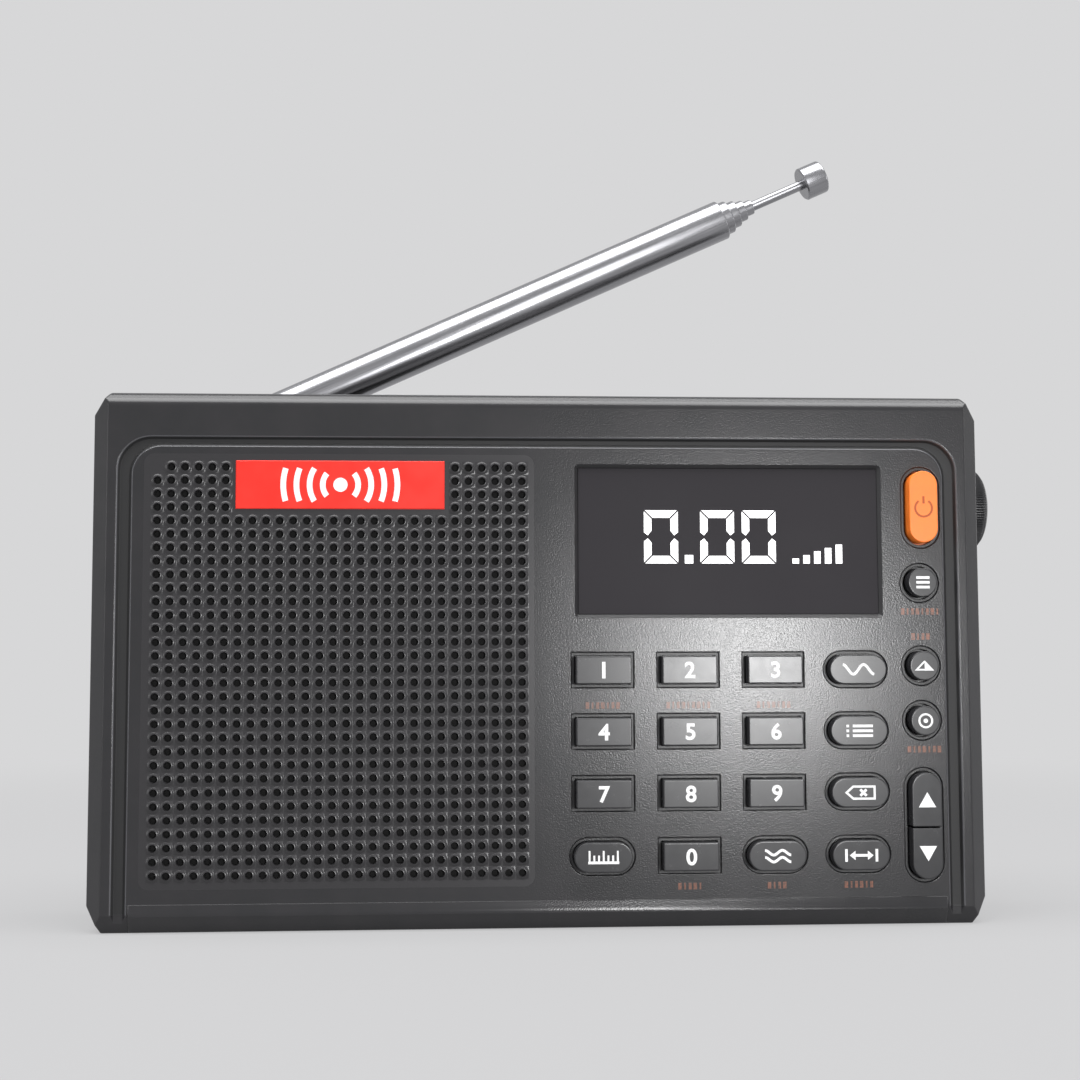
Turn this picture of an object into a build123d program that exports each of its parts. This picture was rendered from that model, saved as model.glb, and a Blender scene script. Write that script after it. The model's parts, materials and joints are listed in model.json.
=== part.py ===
"""Slim world-band radio that stands on its long edge, built as separate moulded,
turned and pressed pieces.

Millimetres. +X runs to the right of someone facing the dial, +Y runs to the rear and
+Z is up. The origin is the middle of the case's base.
"""
from build123d import *
from math import cos, pi, sin
import os

# ---------------------------------------------------------------- case, overall
WIDTH = 158.4
DEPTH = 28.0
HEIGHT = 94.2
WALL = 1.8
FRONT_WALL = 2.0
SEAM_Y = 3.3              # where the front and rear mouldings meet
SEAM_GAP = 0.25           # width and depth of the shadow line along the joint
SIDE_BEVEL = (2.85, 2.6)  # width and depth, where the face turns into the side
TOP_BEVEL = (1.8, 1.8)    # depth and height, where the face turns into the top
TOP_ROUND = 2.0           # eases the top bevel into nearly a quarter round
BASE_BEVEL = (1.5, 3.1)   # depth and height, where the face turns into the base
TOP_CORNER = (3.0, 4.0)   # width and height of the cut corners, seen from the front
BASE_CORNER = (2.7, 4.5)
EDGE_ROUND = 0.5
FOOT_LIP = (0.35, 3.3, 4.9, 69.9)  # how proud, its crest and upper end, half length
FRONT_Y = -DEPTH / 2
REAR_Y = DEPTH / 2
FRONT_INSIDE_Y = FRONT_Y + FRONT_WALL
REAR_INSIDE_Y = REAR_Y - WALL

# ---------------------------------------------------------------- front face
GROOVE_DEPTH = 0.65
GROOVE_SLOPES = (40, 46)  # degrees, of the outer and the inner wall
GROOVE_OUTER = (74.7, 86.3, 6.0)           # half width, top and corner radius
GROOVE_INNER = (71.95, 84.4, 5.0)
GROOVE_ROUND = 0.25
GRILLE = (-69.6, -1.9, 7.8, 82.8)          # x low, x high, z low, z high
GRILLE_THICK = 1.2
HOLE_PITCH = 2.365
HOLE_COLUMNS = 28
HOLE_ROWS = 31
FIRST_HOLE = (-67.56, 80.75)
HOLE_R = 0.72
NAME_PLATE = (-54.0, -17.4, 73.4, 81.95)
NAME_PLATE_THICK = 0.8
NAME_PLATE_PROUD = 0.3
DISPLAY = (6.35, 60.2, 54.9, 80.9)
DISPLAY_LIP = 0.7         # width and depth of the bevel round the display
LENS_Y = (-13.4, -12.6)
LIGHT_OPENING_INSET = 2.4

# ---------------------------------------------------------------- speaker
SPEAKER_X = (GRILLE[0] + GRILLE[1]) / 2
SPEAKER_Z = 45.3
SPEAKER_R = 25.5
SOUND_R = 17.6            # the holes inside this radius go right through

# ---------------------------------------------------------------- keys
KEY_PROUD = 2.2
KEY_TRAVEL = 0.8
KEY_GAP = 0.3             # all round, between a cap and its hole
KEY_RIM = (0.65, 0.35)    # width and depth of the step round each hole
KEY_RIM_SLOPE = 22
KEY_LIP = 0.9             # width of the flange that keeps a key in
KEY_EDGE = 0.3
FLANGE_Y = (-11.9, -10.9)
DOME_TOP_Y = -10.05
MAT_Y = (-9.0, -8.2)
MAT_BLOCK = (4.6, 70.4, 7.6, 49.2)
MAT_STRIP = (62.6, 70.4, 49.2, 82.8)
NUMBER_KEY = (9.35, 4.5)
OBLONG_KEY = (9.8, 4.8)
ROUND_KEY = 5.3
POWER_KEY = (5.2, 12.9)
ROCKER = (5.2, 18.4)
ROCKER_AT = (67.6, 17.5)
ROCKER_SPLIT = (17.1, 17.4)
COLUMNS = (10.5, 25.7, 40.9, 55.7)
ROWS = (45.0, 34.2, 23.4, 12.5)
RIGHT_COLUMN = 67.6
MENU_Z, SIDEBAND_Z, INFO_Z = 60.4, 45.6, 35.9
POWER_AT = (68.0, 73.95)

# ---------------------------------------------------------------- boards
BOARD_Y = (MAT_Y[1], -7.0)
BOARD = (4.4, 70.4, 4.0, 88.8)
CHIPS = ((22, 30, 61, 69), (38, 44, 59, 65), (12, 15, 63, 72))
CHIP_THICK = 1.3
BOARD_SCREWS = ((6.0, 86.8), (60.5, 86.8), (48.3, 51.1), (33.3, 5.8))
CASE_SCREWS = ((-73.2, 30.3), (73.2, 30.3), (-73.2, 87.3), (73.2, 87.3), (1.2, 5.8))

FERRITE_AT = (7.9, 78.3)  # y, z
FERRITE_R = 3.5
FERRITE_X = (-50.0, 56.0)
COIL_R = 4.1
COIL_X = (-30.0, 6.0)

# ---------------------------------------------------------------- sockets, left side
JACK_AT = (-2.5, 60.8)    # y, z
JACK_NOSE_R = 3.0
JACK_BORE_R = 1.8
JACK_X = (-79.0, -65.0)
SOCKET_AT = (-2.5, 44.8)  # y, z
SOCKET_SIZE = (9.6, 3.9)
SOCKET_X = (-79.0, -70.5)

# ---------------------------------------------------------------- antenna
PIVOT = (-58.9, 9.3, 89.5)
REST_ANGLE = 24.3         # above horizontal
CHANNEL_FLOOR_Z = 85.3
CHANNEL_WALL_Y = 5.2
CHANNEL_HALF = 70.6
TURRET_R = 4.6
TURRET_FOOT = -3.95       # along Y from the pivot
TURRET_TOP = 2.9
TURRET_POCKET_R = 5.2
STUB_R = 1.5
BLADE_HALF = 1.2
ELBOW_PIN_R = 1.0
RUNNING_GAP = 0.05
TUBE_RADII = (3.85, 3.2, 2.6, 2.0, 1.45)
TUBE_WALL = 0.3
TUBE_START = 6.5
TUBE_END = 104.8
TUBE_STEP = 1.65
NECK = 1.2
BUSH = 3.0
PLUG = 4.5
ROD_R = 0.95
ROD_INWARD = 9.0          # the rod's travel from rest, into the last tube
CAP_R = 3.2
CAP_SPAN = (122.3, 126.8)

# ---------------------------------------------------------------- tuning knob
KNOB_AT = (0.0, 74.9)     # y, z
KNOB_X = (79.5, 82.4, 83.9)
KNOB_R = 7.3
KNOB_FLUTES = 51
FLUTE_DEPTH = 0.35
DOME_ANGLES = [pi / 2 * step / 4 for step in range(5)]
SHAFT_R = 2.0
SHAFT_X = (69.0, 82.4)

# ---------------------------------------------------------------- back
DOOR = (4.9, 63.7, 11.8, 50.9)
DOOR_INSIDE_Y = 12.6
DOOR_HINGE_R = 0.9
DOOR_GAP = 0.3
BAY = (5.4, 63.2, 13.0, 49.4)
BAY_FLOOR_Y = 6.0
BATTERY = (6.2, 59.2, 13.4, 47.4)
BATTERY_Y = (6.3, 12.0)
CONTACT_ROWS = (22.8, 30.4, 38.0)
STAND = (-60.6, -9.4, 6.4, 44.8)
STAND_Y = (12.0, 13.9)
STAND_GAP = 0.35
PIN_GAP = 0.06


# ================================================================ helpers
def block(x0, x1, y0, y1, z0, z1):
    """Box between two corners."""
    return Pos((x0 + x1) / 2, (y0 + y1) / 2, (z0 + z1) / 2) * Box(x1 - x0, y1 - y0, z1 - z0)


def slab(sketch, y0, y1):
    """Sketch drawn in (x, z), extruded from y0 to y1."""
    return extrude(Plane.XZ.offset(-y1) * sketch, y1 - y0, dir=(0, -1, 0))


def sunk(sketch, depth, slope=0):
    """Sketch drawn in (x, z) on the front face, sunk inwards with sloping walls."""
    front = Plane((0, FRONT_Y, 0), x_dir=(-1, 0, 0), z_dir=(0, 1, 0))
    return extrude(front * mirror(sketch, Plane.YZ), depth, taper=slope)


def rectangle(box, grow=0.0, corner=0.0):
    """Rectangle over (x low, x high, z low, z high), grown on all sides."""
    x0, x1, z0, z1 = box
    size = (x1 - x0 + 2 * grow, z1 - z0 + 2 * grow)
    shape = RectangleRounded(*size, corner) if corner else Rectangle(*size)
    return Pos((x0 + x1) / 2, (z0 + z1) / 2) * shape


def polygon(*points):
    return Polygon(*points, align=None)


def rod_y(x, z, radius, y0, y1):
    """Round bar along Y."""
    return Pos(x, (y0 + y1) / 2, z) * Rot(90, 0, 0) * Cylinder(radius, y1 - y0)


def rod_x(y, z, radius, x0, x1):
    """Round bar along X."""
    return Pos((x0 + x1) / 2, y, z) * Rot(0, 90, 0) * Cylinder(radius, x1 - x0)


def turned_y(x, z, *profile):
    """Turned piece about a line along Y: the profile holds (radius, y) pairs."""
    return Pos(x, 0, z) * revolve(polygon(*profile), Axis.Y)


def save(shape, name):
    export_step(shape, f"parts/{name}.step")


# ================================================================ case
def case_form(inset, front_inset):
    """The case's bevelled brick, as three outlines carried through one another."""
    half, top = WIDTH / 2 - inset, HEIGHT - inset
    y0, y1 = FRONT_Y + front_inset, REAR_Y - inset
    (top_x, top_z), (base_x, base_z) = TOP_CORNER, BASE_CORNER
    front = polygon((-half + base_x, inset), (half - base_x, inset), (half, inset + base_z),
                    (half, top - top_z), (half - top_x, top), (-half + top_x, top),
                    (-half, top - top_z), (-half, inset + base_z))
    (top_y, top_z), (base_y, base_z) = TOP_BEVEL, BASE_BEVEL
    side = polygon((y0 + base_y, inset), (y1 - base_y, inset), (y1, inset + base_z),
                   (y1, top - top_z), (y1 - top_y, top), (y0 + top_y, top),
                   (y0, top - top_z), (y0, inset + base_z))
    x, y = SIDE_BEVEL
    plan = polygon((-half + x, y0), (half - x, y0), (half, y0 + y), (half, y1 - y),
                   (half - x, y1), (-half + x, y1), (-half, y1 - y), (-half, y0 + y))
    form = slab(front, y0, y1)
    form &= extrude(Plane.YZ.offset(-half) * side, 2 * half)
    return form & (Pos(0, 0, inset) * extrude(plan, top - inset))


def sharp_edges(form):
    """Edges whose two faces meet at an angle, leaving out the ends of a round."""
    found = []
    for edge in form.edges():
        sides = [face for face in form.faces() if any(edge.is_same(e) for e in face.edges())]
        middle = edge.position_at(0.5)
        if sides[0].normal_at(middle).get_angle(sides[-1].normal_at(middle)) > 8:
            found.append(edge)
    return found


def foot_lip():
    """Low swelling along the foot of the face, which the base bevel then cuts under."""
    proud, crest, upper, half = FOOT_LIP
    y, z = BASE_BEVEL
    section = polygon((FRONT_Y + 1, upper), (FRONT_Y, upper), (FRONT_Y - proud, crest),
                      (FRONT_Y - proud, z - 0.15), (FRONT_Y + y - 0.15, 0.15),
                      (FRONT_Y + y + 1, 0.15))
    return extrude(Plane.YZ.offset(-half) * section, 2 * half)


def screw_column(x, z):
    return rod_y(x, z, 2.4, FRONT_INSIDE_Y - 0.5, REAR_INSIDE_Y + 0.5)


def channel_block():
    """Solid that the antenna's channel and its turret's pocket are cut into."""
    half = CHANNEL_HALF + WALL
    body = block(-half, half, CHANNEL_WALL_Y - WALL, REAR_Y, CHANNEL_FLOOR_Z - WALL, HEIGHT)
    pocket = rod_y(PIVOT[0], PIVOT[2], TURRET_POCKET_R + 1.3, CHANNEL_WALL_Y - WALL, REAR_Y)
    return body + pocket


def channel_space():
    body = block(-CHANNEL_HALF, CHANNEL_HALF, CHANNEL_WALL_Y, REAR_Y + 1,
                 CHANNEL_FLOOR_Z, HEIGHT + 1)
    pocket = rod_y(PIVOT[0], PIVOT[2], TURRET_POCKET_R, CHANNEL_WALL_Y, REAR_Y + 1)
    stub = rod_y(PIVOT[0], PIVOT[2], STUB_R + RUNNING_GAP, 0, CHANNEL_WALL_Y + 1)
    return body + pocket + stub


def hollow_case():
    """Both mouldings as one shell, with the structure that stands inside it."""
    outside = case_form(0, 0)
    upper = outside.edges().filter_by(Axis.X).filter_by(lambda edge: edge.center().Z > HEIGHT / 2)
    outside = fillet(upper, TOP_ROUND)
    outside = fillet(sharp_edges(outside), EDGE_ROUND) + foot_lip()
    space = case_form(WALL, FRONT_WALL)
    space -= channel_block()
    space -= block(BAY[0] - WALL, BAY[1] + WALL + 0.2, BAY_FLOOR_Y - 1.2, REAR_Y,
                   DOOR[2] - 1.4, DOOR[3] + 1.6)
    space -= block(STAND[0] - 2.6, STAND[1] + 2.6, STAND_Y[0] - 2.0, REAR_Y,
                   STAND[2] - 2.0, STAND[3] + 2.4)
    for x, z in CASE_SCREWS:
        space -= screw_column(x, z)
    shell = outside - space
    shell -= channel_space()
    band = block(-WIDTH, WIDTH, SEAM_Y - SEAM_GAP, SEAM_Y, -1, HEIGHT + 1)
    return shell - (band - case_form(SEAM_GAP, 0))


def groove():
    """Decorative channel that runs up one side, over the top and down the other."""
    below = -4 * GROOVE_OUTER[2]
    (half, top, corner), (inner_half, inner_top, inner_corner) = GROOVE_OUTER, GROOVE_INNER
    outer = rectangle((-half, half, below, top), corner=corner)
    inner = rectangle((-inner_half, inner_half, below, inner_top), corner=inner_corner)
    outer_slope, inner_slope = GROOVE_SLOPES
    return sunk(outer, GROOVE_DEPTH, outer_slope) - sunk(inner, GROOVE_DEPTH, -inner_slope)


def groove_edges(body):
    """Edges along both mouths of the groove, on the flat of the face."""
    found = []
    for edge in body.edges().filter_by_position(Axis.Y, FRONT_Y - 0.01, FRONT_Y + 0.01):
        x, z = abs(edge.center().X), edge.center().Z
        if z > HEIGHT / 4 and (x > GROOVE_INNER[0] - 1.7 or z > GROOVE_INNER[1] - 0.3):
            if x < GROOVE_OUTER[0] + 0.3 and z < GROOVE_OUTER[1] + 0.3:
                found.append(edge)
    return found


# ================================================================ keys
def cap_outline(kind, grow=0.0):
    """Plan outline of a key cap, centred on its own middle."""
    if kind == "number":
        return Rectangle(NUMBER_KEY[0] + 2 * grow, NUMBER_KEY[1] + 2 * grow)
    if kind == "oblong":
        return SlotOverall(OBLONG_KEY[0] + 2 * grow, OBLONG_KEY[1] + 2 * grow)
    if kind == "round":
        return Circle(ROUND_KEY / 2 + grow)
    width, height = POWER_KEY if kind == "power" else ROCKER
    return Rot(0, 0, 90) * SlotOverall(height + 2 * grow, width + 2 * grow)


def key_table():
    """Key name: (kind, x, z)."""
    keys = {"key_0": ("number", COLUMNS[1], ROWS[3])}
    for number in range(1, 10):
        row, column = divmod(number - 1, 3)
        keys[f"key_{number}"] = ("number", COLUMNS[column], ROWS[row])
    keys["key_band"] = ("oblong", COLUMNS[3], ROWS[0])
    keys["key_memory"] = ("oblong", COLUMNS[3], ROWS[1])
    keys["key_delete"] = ("oblong", COLUMNS[3], ROWS[2])
    keys["key_bandwidth"] = ("oblong", COLUMNS[3], ROWS[3])
    keys["key_frequency"] = ("oblong", 10.3, ROWS[3])
    keys["key_mode"] = ("oblong", COLUMNS[2], ROWS[3])
    keys["key_menu"] = ("round", RIGHT_COLUMN, MENU_Z)
    keys["key_sideband"] = ("round", RIGHT_COLUMN, SIDEBAND_Z)
    keys["key_info"] = ("round", RIGHT_COLUMN, INFO_Z)
    keys["power_key"] = ("power", *POWER_AT)
    return keys


def key_openings():
    """Every key hole, with the step round its mouth."""
    places = list(key_table().values()) + [("rocker", *ROCKER_AT)]
    holes = []
    for kind, x, z in places:
        holes.append(slab(Pos(x, z) * cap_outline(kind, KEY_GAP), FRONT_Y - 1, FLANGE_Y[0]))
        rim = cap_outline(kind, KEY_GAP + KEY_RIM[0])
        holes.append(sunk(Pos(x, z) * rim, KEY_RIM[1], KEY_RIM_SLOPE))
    return holes


def key(kind, x, z, keep=None):
    """Cap with eased top edges, on the flange that holds it behind the front wall."""
    cap, flange = Pos(x, z) * cap_outline(kind), Pos(x, z) * cap_outline(kind, KEY_LIP)
    if keep is not None:
        cap, flange = cap & rectangle(keep), flange & rectangle(keep)
    body = slab(cap, FRONT_Y - KEY_PROUD, FLANGE_Y[0])
    top = body.faces().sort_by(Axis.Y)[0]
    body = chamfer(top.edges(), KEY_EDGE)
    return body + slab(flange, *FLANGE_Y)


def key_mat():
    """Silicone sheet with an eight-sided dome behind each key."""
    sheet = slab(rectangle(MAT_BLOCK) + rectangle(MAT_STRIP), *MAT_Y)
    spots = [(x, z) for _, x, z in key_table().values()]
    spots += [(ROCKER_AT[0], ROCKER_SPLIT[1] + 4.6), (ROCKER_AT[0], ROCKER_SPLIT[0] - 4.6)]
    for x, z in spots:
        foot, top = (Plane((x, y, z), x_dir=(1, 0, 0), z_dir=(0, 1, 0)) for y in (MAT_Y[0], DOME_TOP_Y))
        sheet += loft([foot * RegularPolygon(2.1, 8), top * RegularPolygon(1.5, 8)])
    return sheet


# ================================================================ front and rear mouldings
def front_case(shell):
    body = shell & block(-WIDTH, WIDTH, FRONT_Y - 1, SEAM_Y, -1, HEIGHT + 1)
    for x, z in BOARD_SCREWS:
        body += rod_y(x, z, 1.6, FRONT_INSIDE_Y - 0.5, BOARD_Y[0])
        body -= rod_y(x, z, 0.8, FRONT_INSIDE_Y, BOARD_Y[0] + 1)
    body -= groove()
    body = fillet(groove_edges(body), GROOVE_ROUND)
    seat = slab(rectangle(GRILLE, 0.05, 1.5), FRONT_Y - 1, FRONT_Y + GRILLE_THICK)
    body -= [seat, slab(rectangle(GRILLE, -1.6, 1.0), FRONT_Y, FRONT_INSIDE_Y + 0.01)]
    body -= sunk(rectangle(DISPLAY, DISPLAY_LIP, 0.8), DISPLAY_LIP, 44)
    body -= slab(rectangle(DISPLAY, 0.03, 0.15), FRONT_Y, LENS_Y[1])
    body -= slab(rectangle(DISPLAY, -LIGHT_OPENING_INSET), FRONT_Y, FRONT_INSIDE_Y + 0.01)
    body -= key_openings()
    for x, z in CASE_SCREWS:
        body -= rod_y(x, z, 1.0, -7.0, SEAM_Y + 1)
    body -= rod_x(KNOB_AT[0], KNOB_AT[1], SHAFT_R + 0.2, WIDTH / 2 - 4, WIDTH / 2 + 1)
    body -= rod_x(*JACK_AT, JACK_NOSE_R + RUNNING_GAP, -WIDTH / 2 - 1, -WIDTH / 2 + 4)
    body -= socket_solid(0.1, -WIDTH / 2 - 1, -WIDTH / 2 + 4)
    return body


def door_hinge():
    return (REAR_Y - DOOR_HINGE_R, DOOR[2] + DOOR_HINGE_R)


def stand_hinge():
    radius = (STAND_Y[1] - STAND_Y[0]) / 2
    return (STAND_Y[0] + radius, STAND[3] - radius), radius


def rear_case(shell):
    body = shell & block(-WIDTH, WIDTH, SEAM_Y, REAR_Y + 1, -1, HEIGHT + 1)
    for x, z in CASE_SCREWS:
        body -= rod_y(x, z, 1.2, SEAM_Y - 1, REAR_Y)
        body -= rod_y(x, z, 2.1, REAR_Y - 2.0, REAR_Y + 1)
    body -= block(BAY[0], BAY[1], BAY_FLOOR_Y, REAR_Y + 1, BAY[2], BAY[3])
    x0, x1 = DOOR[0] - DOOR_GAP, DOOR[1] + DOOR_GAP
    body -= block(x0, x1, DOOR_INSIDE_Y - 0.1, REAR_Y + 1, DOOR[2] - 0.15, DOOR[3] + DOOR_GAP)
    y, z = door_hinge()
    body -= rod_x(y, z, DOOR_HINGE_R + 0.15, x0, x1)
    body -= rod_x(y, z, 0.55 + PIN_GAP, x0 - 1.1, x1 + 1.1)
    thumb_x = (DOOR[0] + DOOR[1]) / 2
    body -= block(thumb_x - 7, thumb_x + 7, DOOR_INSIDE_Y + 0.2, REAR_Y + 1, DOOR[3], DOOR[3] + 1.3)
    x0, x1 = STAND[0] - STAND_GAP, STAND[1] + STAND_GAP
    body -= block(x0, x1, STAND_Y[0] - 0.2, REAR_Y + 1, STAND[2] - STAND_GAP, STAND[3] + STAND_GAP)
    (y, z), _ = stand_hinge()
    body -= rod_x(y, z, 0.6 + PIN_GAP, x0 - 1.2, x1 + 1.2)
    thumb_x = (STAND[0] + STAND[1]) / 2
    body -= block(thumb_x - 8, thumb_x + 8, STAND_Y[0] + 0.6, REAR_Y + 1, STAND[2] - 1.6, STAND[2])
    return body


# ================================================================ grille, plate and display
def hole_places():
    """Centres of the holes over the loudspeaker."""
    places = []
    for column in range(HOLE_COLUMNS):
        for row in range(HOLE_ROWS):
            x = FIRST_HOLE[0] + column * HOLE_PITCH
            z = FIRST_HOLE[1] - row * HOLE_PITCH
            if (x - SPEAKER_X) ** 2 + (z - SPEAKER_Z) ** 2 < SOUND_R ** 2:
                places.append((x, z))
    return places


def speaker_grille():
    """Flush panel, pierced over the loudspeaker and recessed for the name plate."""
    outline = rectangle(GRILLE, corner=1.45).wire()
    holes = [Pos(x, z) * RegularPolygon(HOLE_R, 6) for x, z in hole_places()]
    face = Face(outline, [hole.wire() for hole in holes])
    panel = slab(face, FRONT_Y, FRONT_Y + GRILLE_THICK)
    return panel - sunk(rectangle(NAME_PLATE, 0.05), NAME_PLATE_THICK - NAME_PLATE_PROUD)


def name_plate():
    y0 = FRONT_Y - NAME_PLATE_PROUD
    plate = slab(rectangle(NAME_PLATE), y0, y0 + NAME_PLATE_THICK)
    return chamfer(plate.faces().sort_by(Axis.Y)[0].edges(), 0.15)


def lcd_frame():
    outer = rectangle(DISPLAY, 0.6, 1.0) - rectangle(DISPLAY, -1.0)
    return slab(outer, FRONT_INSIDE_Y, BOARD_Y[0])


# ================================================================ loudspeaker
def speaker_frame():
    """Pressed basket: flat rim, sloping wall and the plate that holds the magnet."""
    r, y = SPEAKER_R, FRONT_Y + GRILLE_THICK + 0.3
    basket = turned_y(SPEAKER_X, SPEAKER_Z, (r, y), (r, y + 0.9), (r - 2.2, y + 0.9),
                      (13.0, -4.2), (5.0, -4.2), (5.0, -5.0), (12.6, -5.0),
                      (r - 3.4, y + 0.6), (r - 3.4, y))
    for turn in range(4):
        window = Pos(17.3, -9.5, 0) * Box(5.4, 9, 10)
        basket -= Pos(SPEAKER_X, 0, SPEAKER_Z) * Rot(0, 45 + 90 * turn, 0) * window & inside_basket()
    return basket


def inside_basket():
    return rod_y(SPEAKER_X, SPEAKER_Z, 20.6, -10.9, -5.1)


def speaker_cone():
    """Paper cone with its surround and dust cap."""
    y = FRONT_Y + GRILLE_THICK + 0.4
    return turned_y(SPEAKER_X, SPEAKER_Z, (0, -8.6), (6.4, -7.0), (19.0, y + 0.9),
                    (SPEAKER_R - 3.6, y), (SPEAKER_R - 3.6, y + 0.55), (19.2, y + 1.4),
                    (4.8, -5.6), (0, -5.6))


def speaker_magnet():
    return turned_y(SPEAKER_X, SPEAKER_Z, (0, -4.2), (11.5, -4.2), (11.5, 1.8), (10.7, 2.6), (0, 2.6))


# ================================================================ boards and sockets
def main_pcb():
    board = slab(rectangle(BOARD, corner=1.0), *BOARD_Y)
    for x, z in BOARD_SCREWS:
        board -= rod_y(x, z, 0.8, BOARD_Y[0] - 1, BOARD_Y[1] + 1)
    chips = [slab(rectangle(chip), BOARD_Y[1], BOARD_Y[1] + CHIP_THICK) for chip in CHIPS]
    return board + chips


def screws(places, head_r, head_y, shank_r, tip_y):
    """Group of like screws, heads to the rear, each with a cross recess."""
    group = []
    for x, z in places:
        body = rod_y(x, z, head_r, head_y[0], head_y[1]) + rod_y(x, z, shank_r, tip_y, head_y[0])
        slot = head_r * 0.62
        cross = block(x - slot, x + slot, head_y[1] - 0.7, head_y[1] + 1, z - 0.25, z + 0.25)
        cross += block(x - 0.25, x + 0.25, head_y[1] - 0.7, head_y[1] + 1, z - slot, z + slot)
        group.append(body - cross)
    return Compound(children=group)


def earphone_jack():
    y, z = JACK_AT
    body = block(-WIDTH / 2 + WALL + 0.1, JACK_X[1], y - 3.4, y + 3.4, z - 3.2, z + 3.2)
    body += rod_x(y, z, JACK_NOSE_R, JACK_X[0], -70.0)
    return body - rod_x(y, z, JACK_BORE_R, JACK_X[0] - 1, JACK_X[1] - 1.2)


def socket_solid(grow, x0, x1):
    """Rounded upright slot, carried along X."""
    y, z = SOCKET_AT
    shape = SlotOverall(SOCKET_SIZE[0] + 2 * grow, SOCKET_SIZE[1] + 2 * grow)
    plane = Plane((x0, y, z), x_dir=(0, 0, 1), z_dir=(1, 0, 0))
    return extrude(plane * shape, x1 - x0)


def dc_socket():
    """Pressed metal shell round a thin contact tongue."""
    y, z = SOCKET_AT
    shell = socket_solid(0, *SOCKET_X) - socket_solid(-0.3, SOCKET_X[0] - 1, SOCKET_X[1] - 1.5)
    return shell + block(SOCKET_X[0] + 1.0, SOCKET_X[1] - 1.5, y - 0.4, y + 0.4, z - 3.2, z + 3.2)


# ================================================================ tuning knob
def side_knob():
    """Fluted rim and a low dome, bored for the encoder's shaft."""
    steps = 2 * KNOB_FLUTES
    star = [((KNOB_R - FLUTE_DEPTH * (i % 2)) * cos(2 * pi * i / steps),
             (KNOB_R - FLUTE_DEPTH * (i % 2)) * sin(2 * pi * i / steps)) for i in range(steps)]
    rim = extrude(Plane.YZ.offset(KNOB_X[0]) * polygon(*star), KNOB_X[1] - KNOB_X[0])
    root, crown = KNOB_X[0] + 0.5, KNOB_X[2] - KNOB_X[1]
    edge_r = KNOB_R - FLUTE_DEPTH - 0.15
    swell = [(KNOB_X[1] + crown * sin(angle), edge_r * cos(angle)) for angle in DOME_ANGLES]
    dome = revolve(polygon((root, 0), (root, edge_r), *swell), Axis.X)
    bore = rod_x(0, 0, SHAFT_R, KNOB_X[0], SHAFT_X[1])
    return Pos(0, *KNOB_AT) * (rim + dome - bore)


def encoder_shaft():
    return rod_x(KNOB_AT[0], KNOB_AT[1], SHAFT_R, *SHAFT_X)


def encoder_body():
    y, z = KNOB_AT
    body = block(67.0, WIDTH / 2 - WALL - 0.2, BOARD_Y[1], 4.6, z - 5.8, z + 5.8)
    return body - rod_x(y, z, SHAFT_R + RUNNING_GAP, 68.8, WIDTH / 2)


# ================================================================ back
def battery_door():
    """Door that swings on two end pins along its lower edge."""
    x0, x1, z0, z1 = DOOR
    y, z = door_hinge()
    plate = block(x0, x1, DOOR_INSIDE_Y, REAR_Y, z, z1)
    top_edge = plate.edges().filter_by(Axis.X).sort_by(Axis.Z)[-2:].sort_by(Axis.Y)[-1]
    plate = chamfer(top_edge, 0.3)
    plate += rod_x(y, z, DOOR_HINGE_R, x0, x1)
    plate += rod_x(y, z, 0.55, x0 - 1.0, x1 + 1.0)
    middle = (x0 + x1) / 2
    for i in range(4):
        z_rib = z1 - 4.5 - 1.5 * i
        plate -= block(middle - 6, middle + 6, REAR_Y - 0.4, REAR_Y + 1, z_rib - 0.35, z_rib + 0.35)
    return plate


def battery():
    cell = block(BATTERY[0], BATTERY[1], *BATTERY_Y, BATTERY[2], BATTERY[3])
    return fillet(cell.edges().filter_by(Axis.Y), 1.0)


def battery_contacts():
    blades = []
    for z in CONTACT_ROWS:
        base = block(61.2, BAY[1], BAY_FLOOR_Y, 11.6, z - 1.6, z + 1.6)
        blades.append(base + block(59.5, 61.2, 7.4, 10.6, z - 0.9, z + 0.9))
    return Compound(children=blades)


def kickstand():
    """Flat prop that hangs from two end pins and swings out of its recess."""
    x0, x1, z0, z1 = STAND
    (y, z), radius = stand_hinge()
    outline = polygon((x0, z), (x1, z), (x1, z0 + 3.0), (x1 - 3.0, z0), (x0 + 3.0, z0), (x0, z0 + 3.0))
    plate = slab(outline, *STAND_Y)
    middle = (x0 + x1) / 2
    plate -= slab(rectangle((x0 + 6, x1 - 6, z0 + 8, z - 6), corner=2.0), STAND_Y[1] - 0.6, REAR_Y + 1)
    plate -= block(middle - 8, middle + 8, STAND_Y[0] + 0.9, REAR_Y + 1, z0 - 1, z0 + 1.2)
    plate += rod_x(y, z, radius, x0, x1)
    return plate + rod_x(y, z, 0.6, x0 - 1.1, x1 + 1.1)


# ================================================================ antenna
# Drawn lying along X from the pivot, with the elbow pin along Z, then tilted to rest.
ANTENNA_AT = Pos(*PIVOT) * Rot(0, -REST_ANGLE, 0)


def turned_x(*profile):
    """Turned piece about the antenna's line: the profile holds (distance, radius) pairs."""
    return revolve(polygon(*profile), Axis.X)


def antenna_turret():
    """Turned post with a milled slot for the tongue, and a stub through the case wall."""
    foot_to_wall = CHANNEL_WALL_Y - PIVOT[1]
    post = rod_y(0, 0, TURRET_R, TURRET_FOOT, TURRET_TOP)
    post += rod_y(0, 0, STUB_R, foot_to_wall - 3.6, TURRET_FOOT)
    slot = BLADE_HALF + 0.1
    post -= block(-9, 9, -3.1, 9, -slot, slot)
    return post - Cylinder(ELBOW_PIN_R, 3 * TURRET_R)


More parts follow.
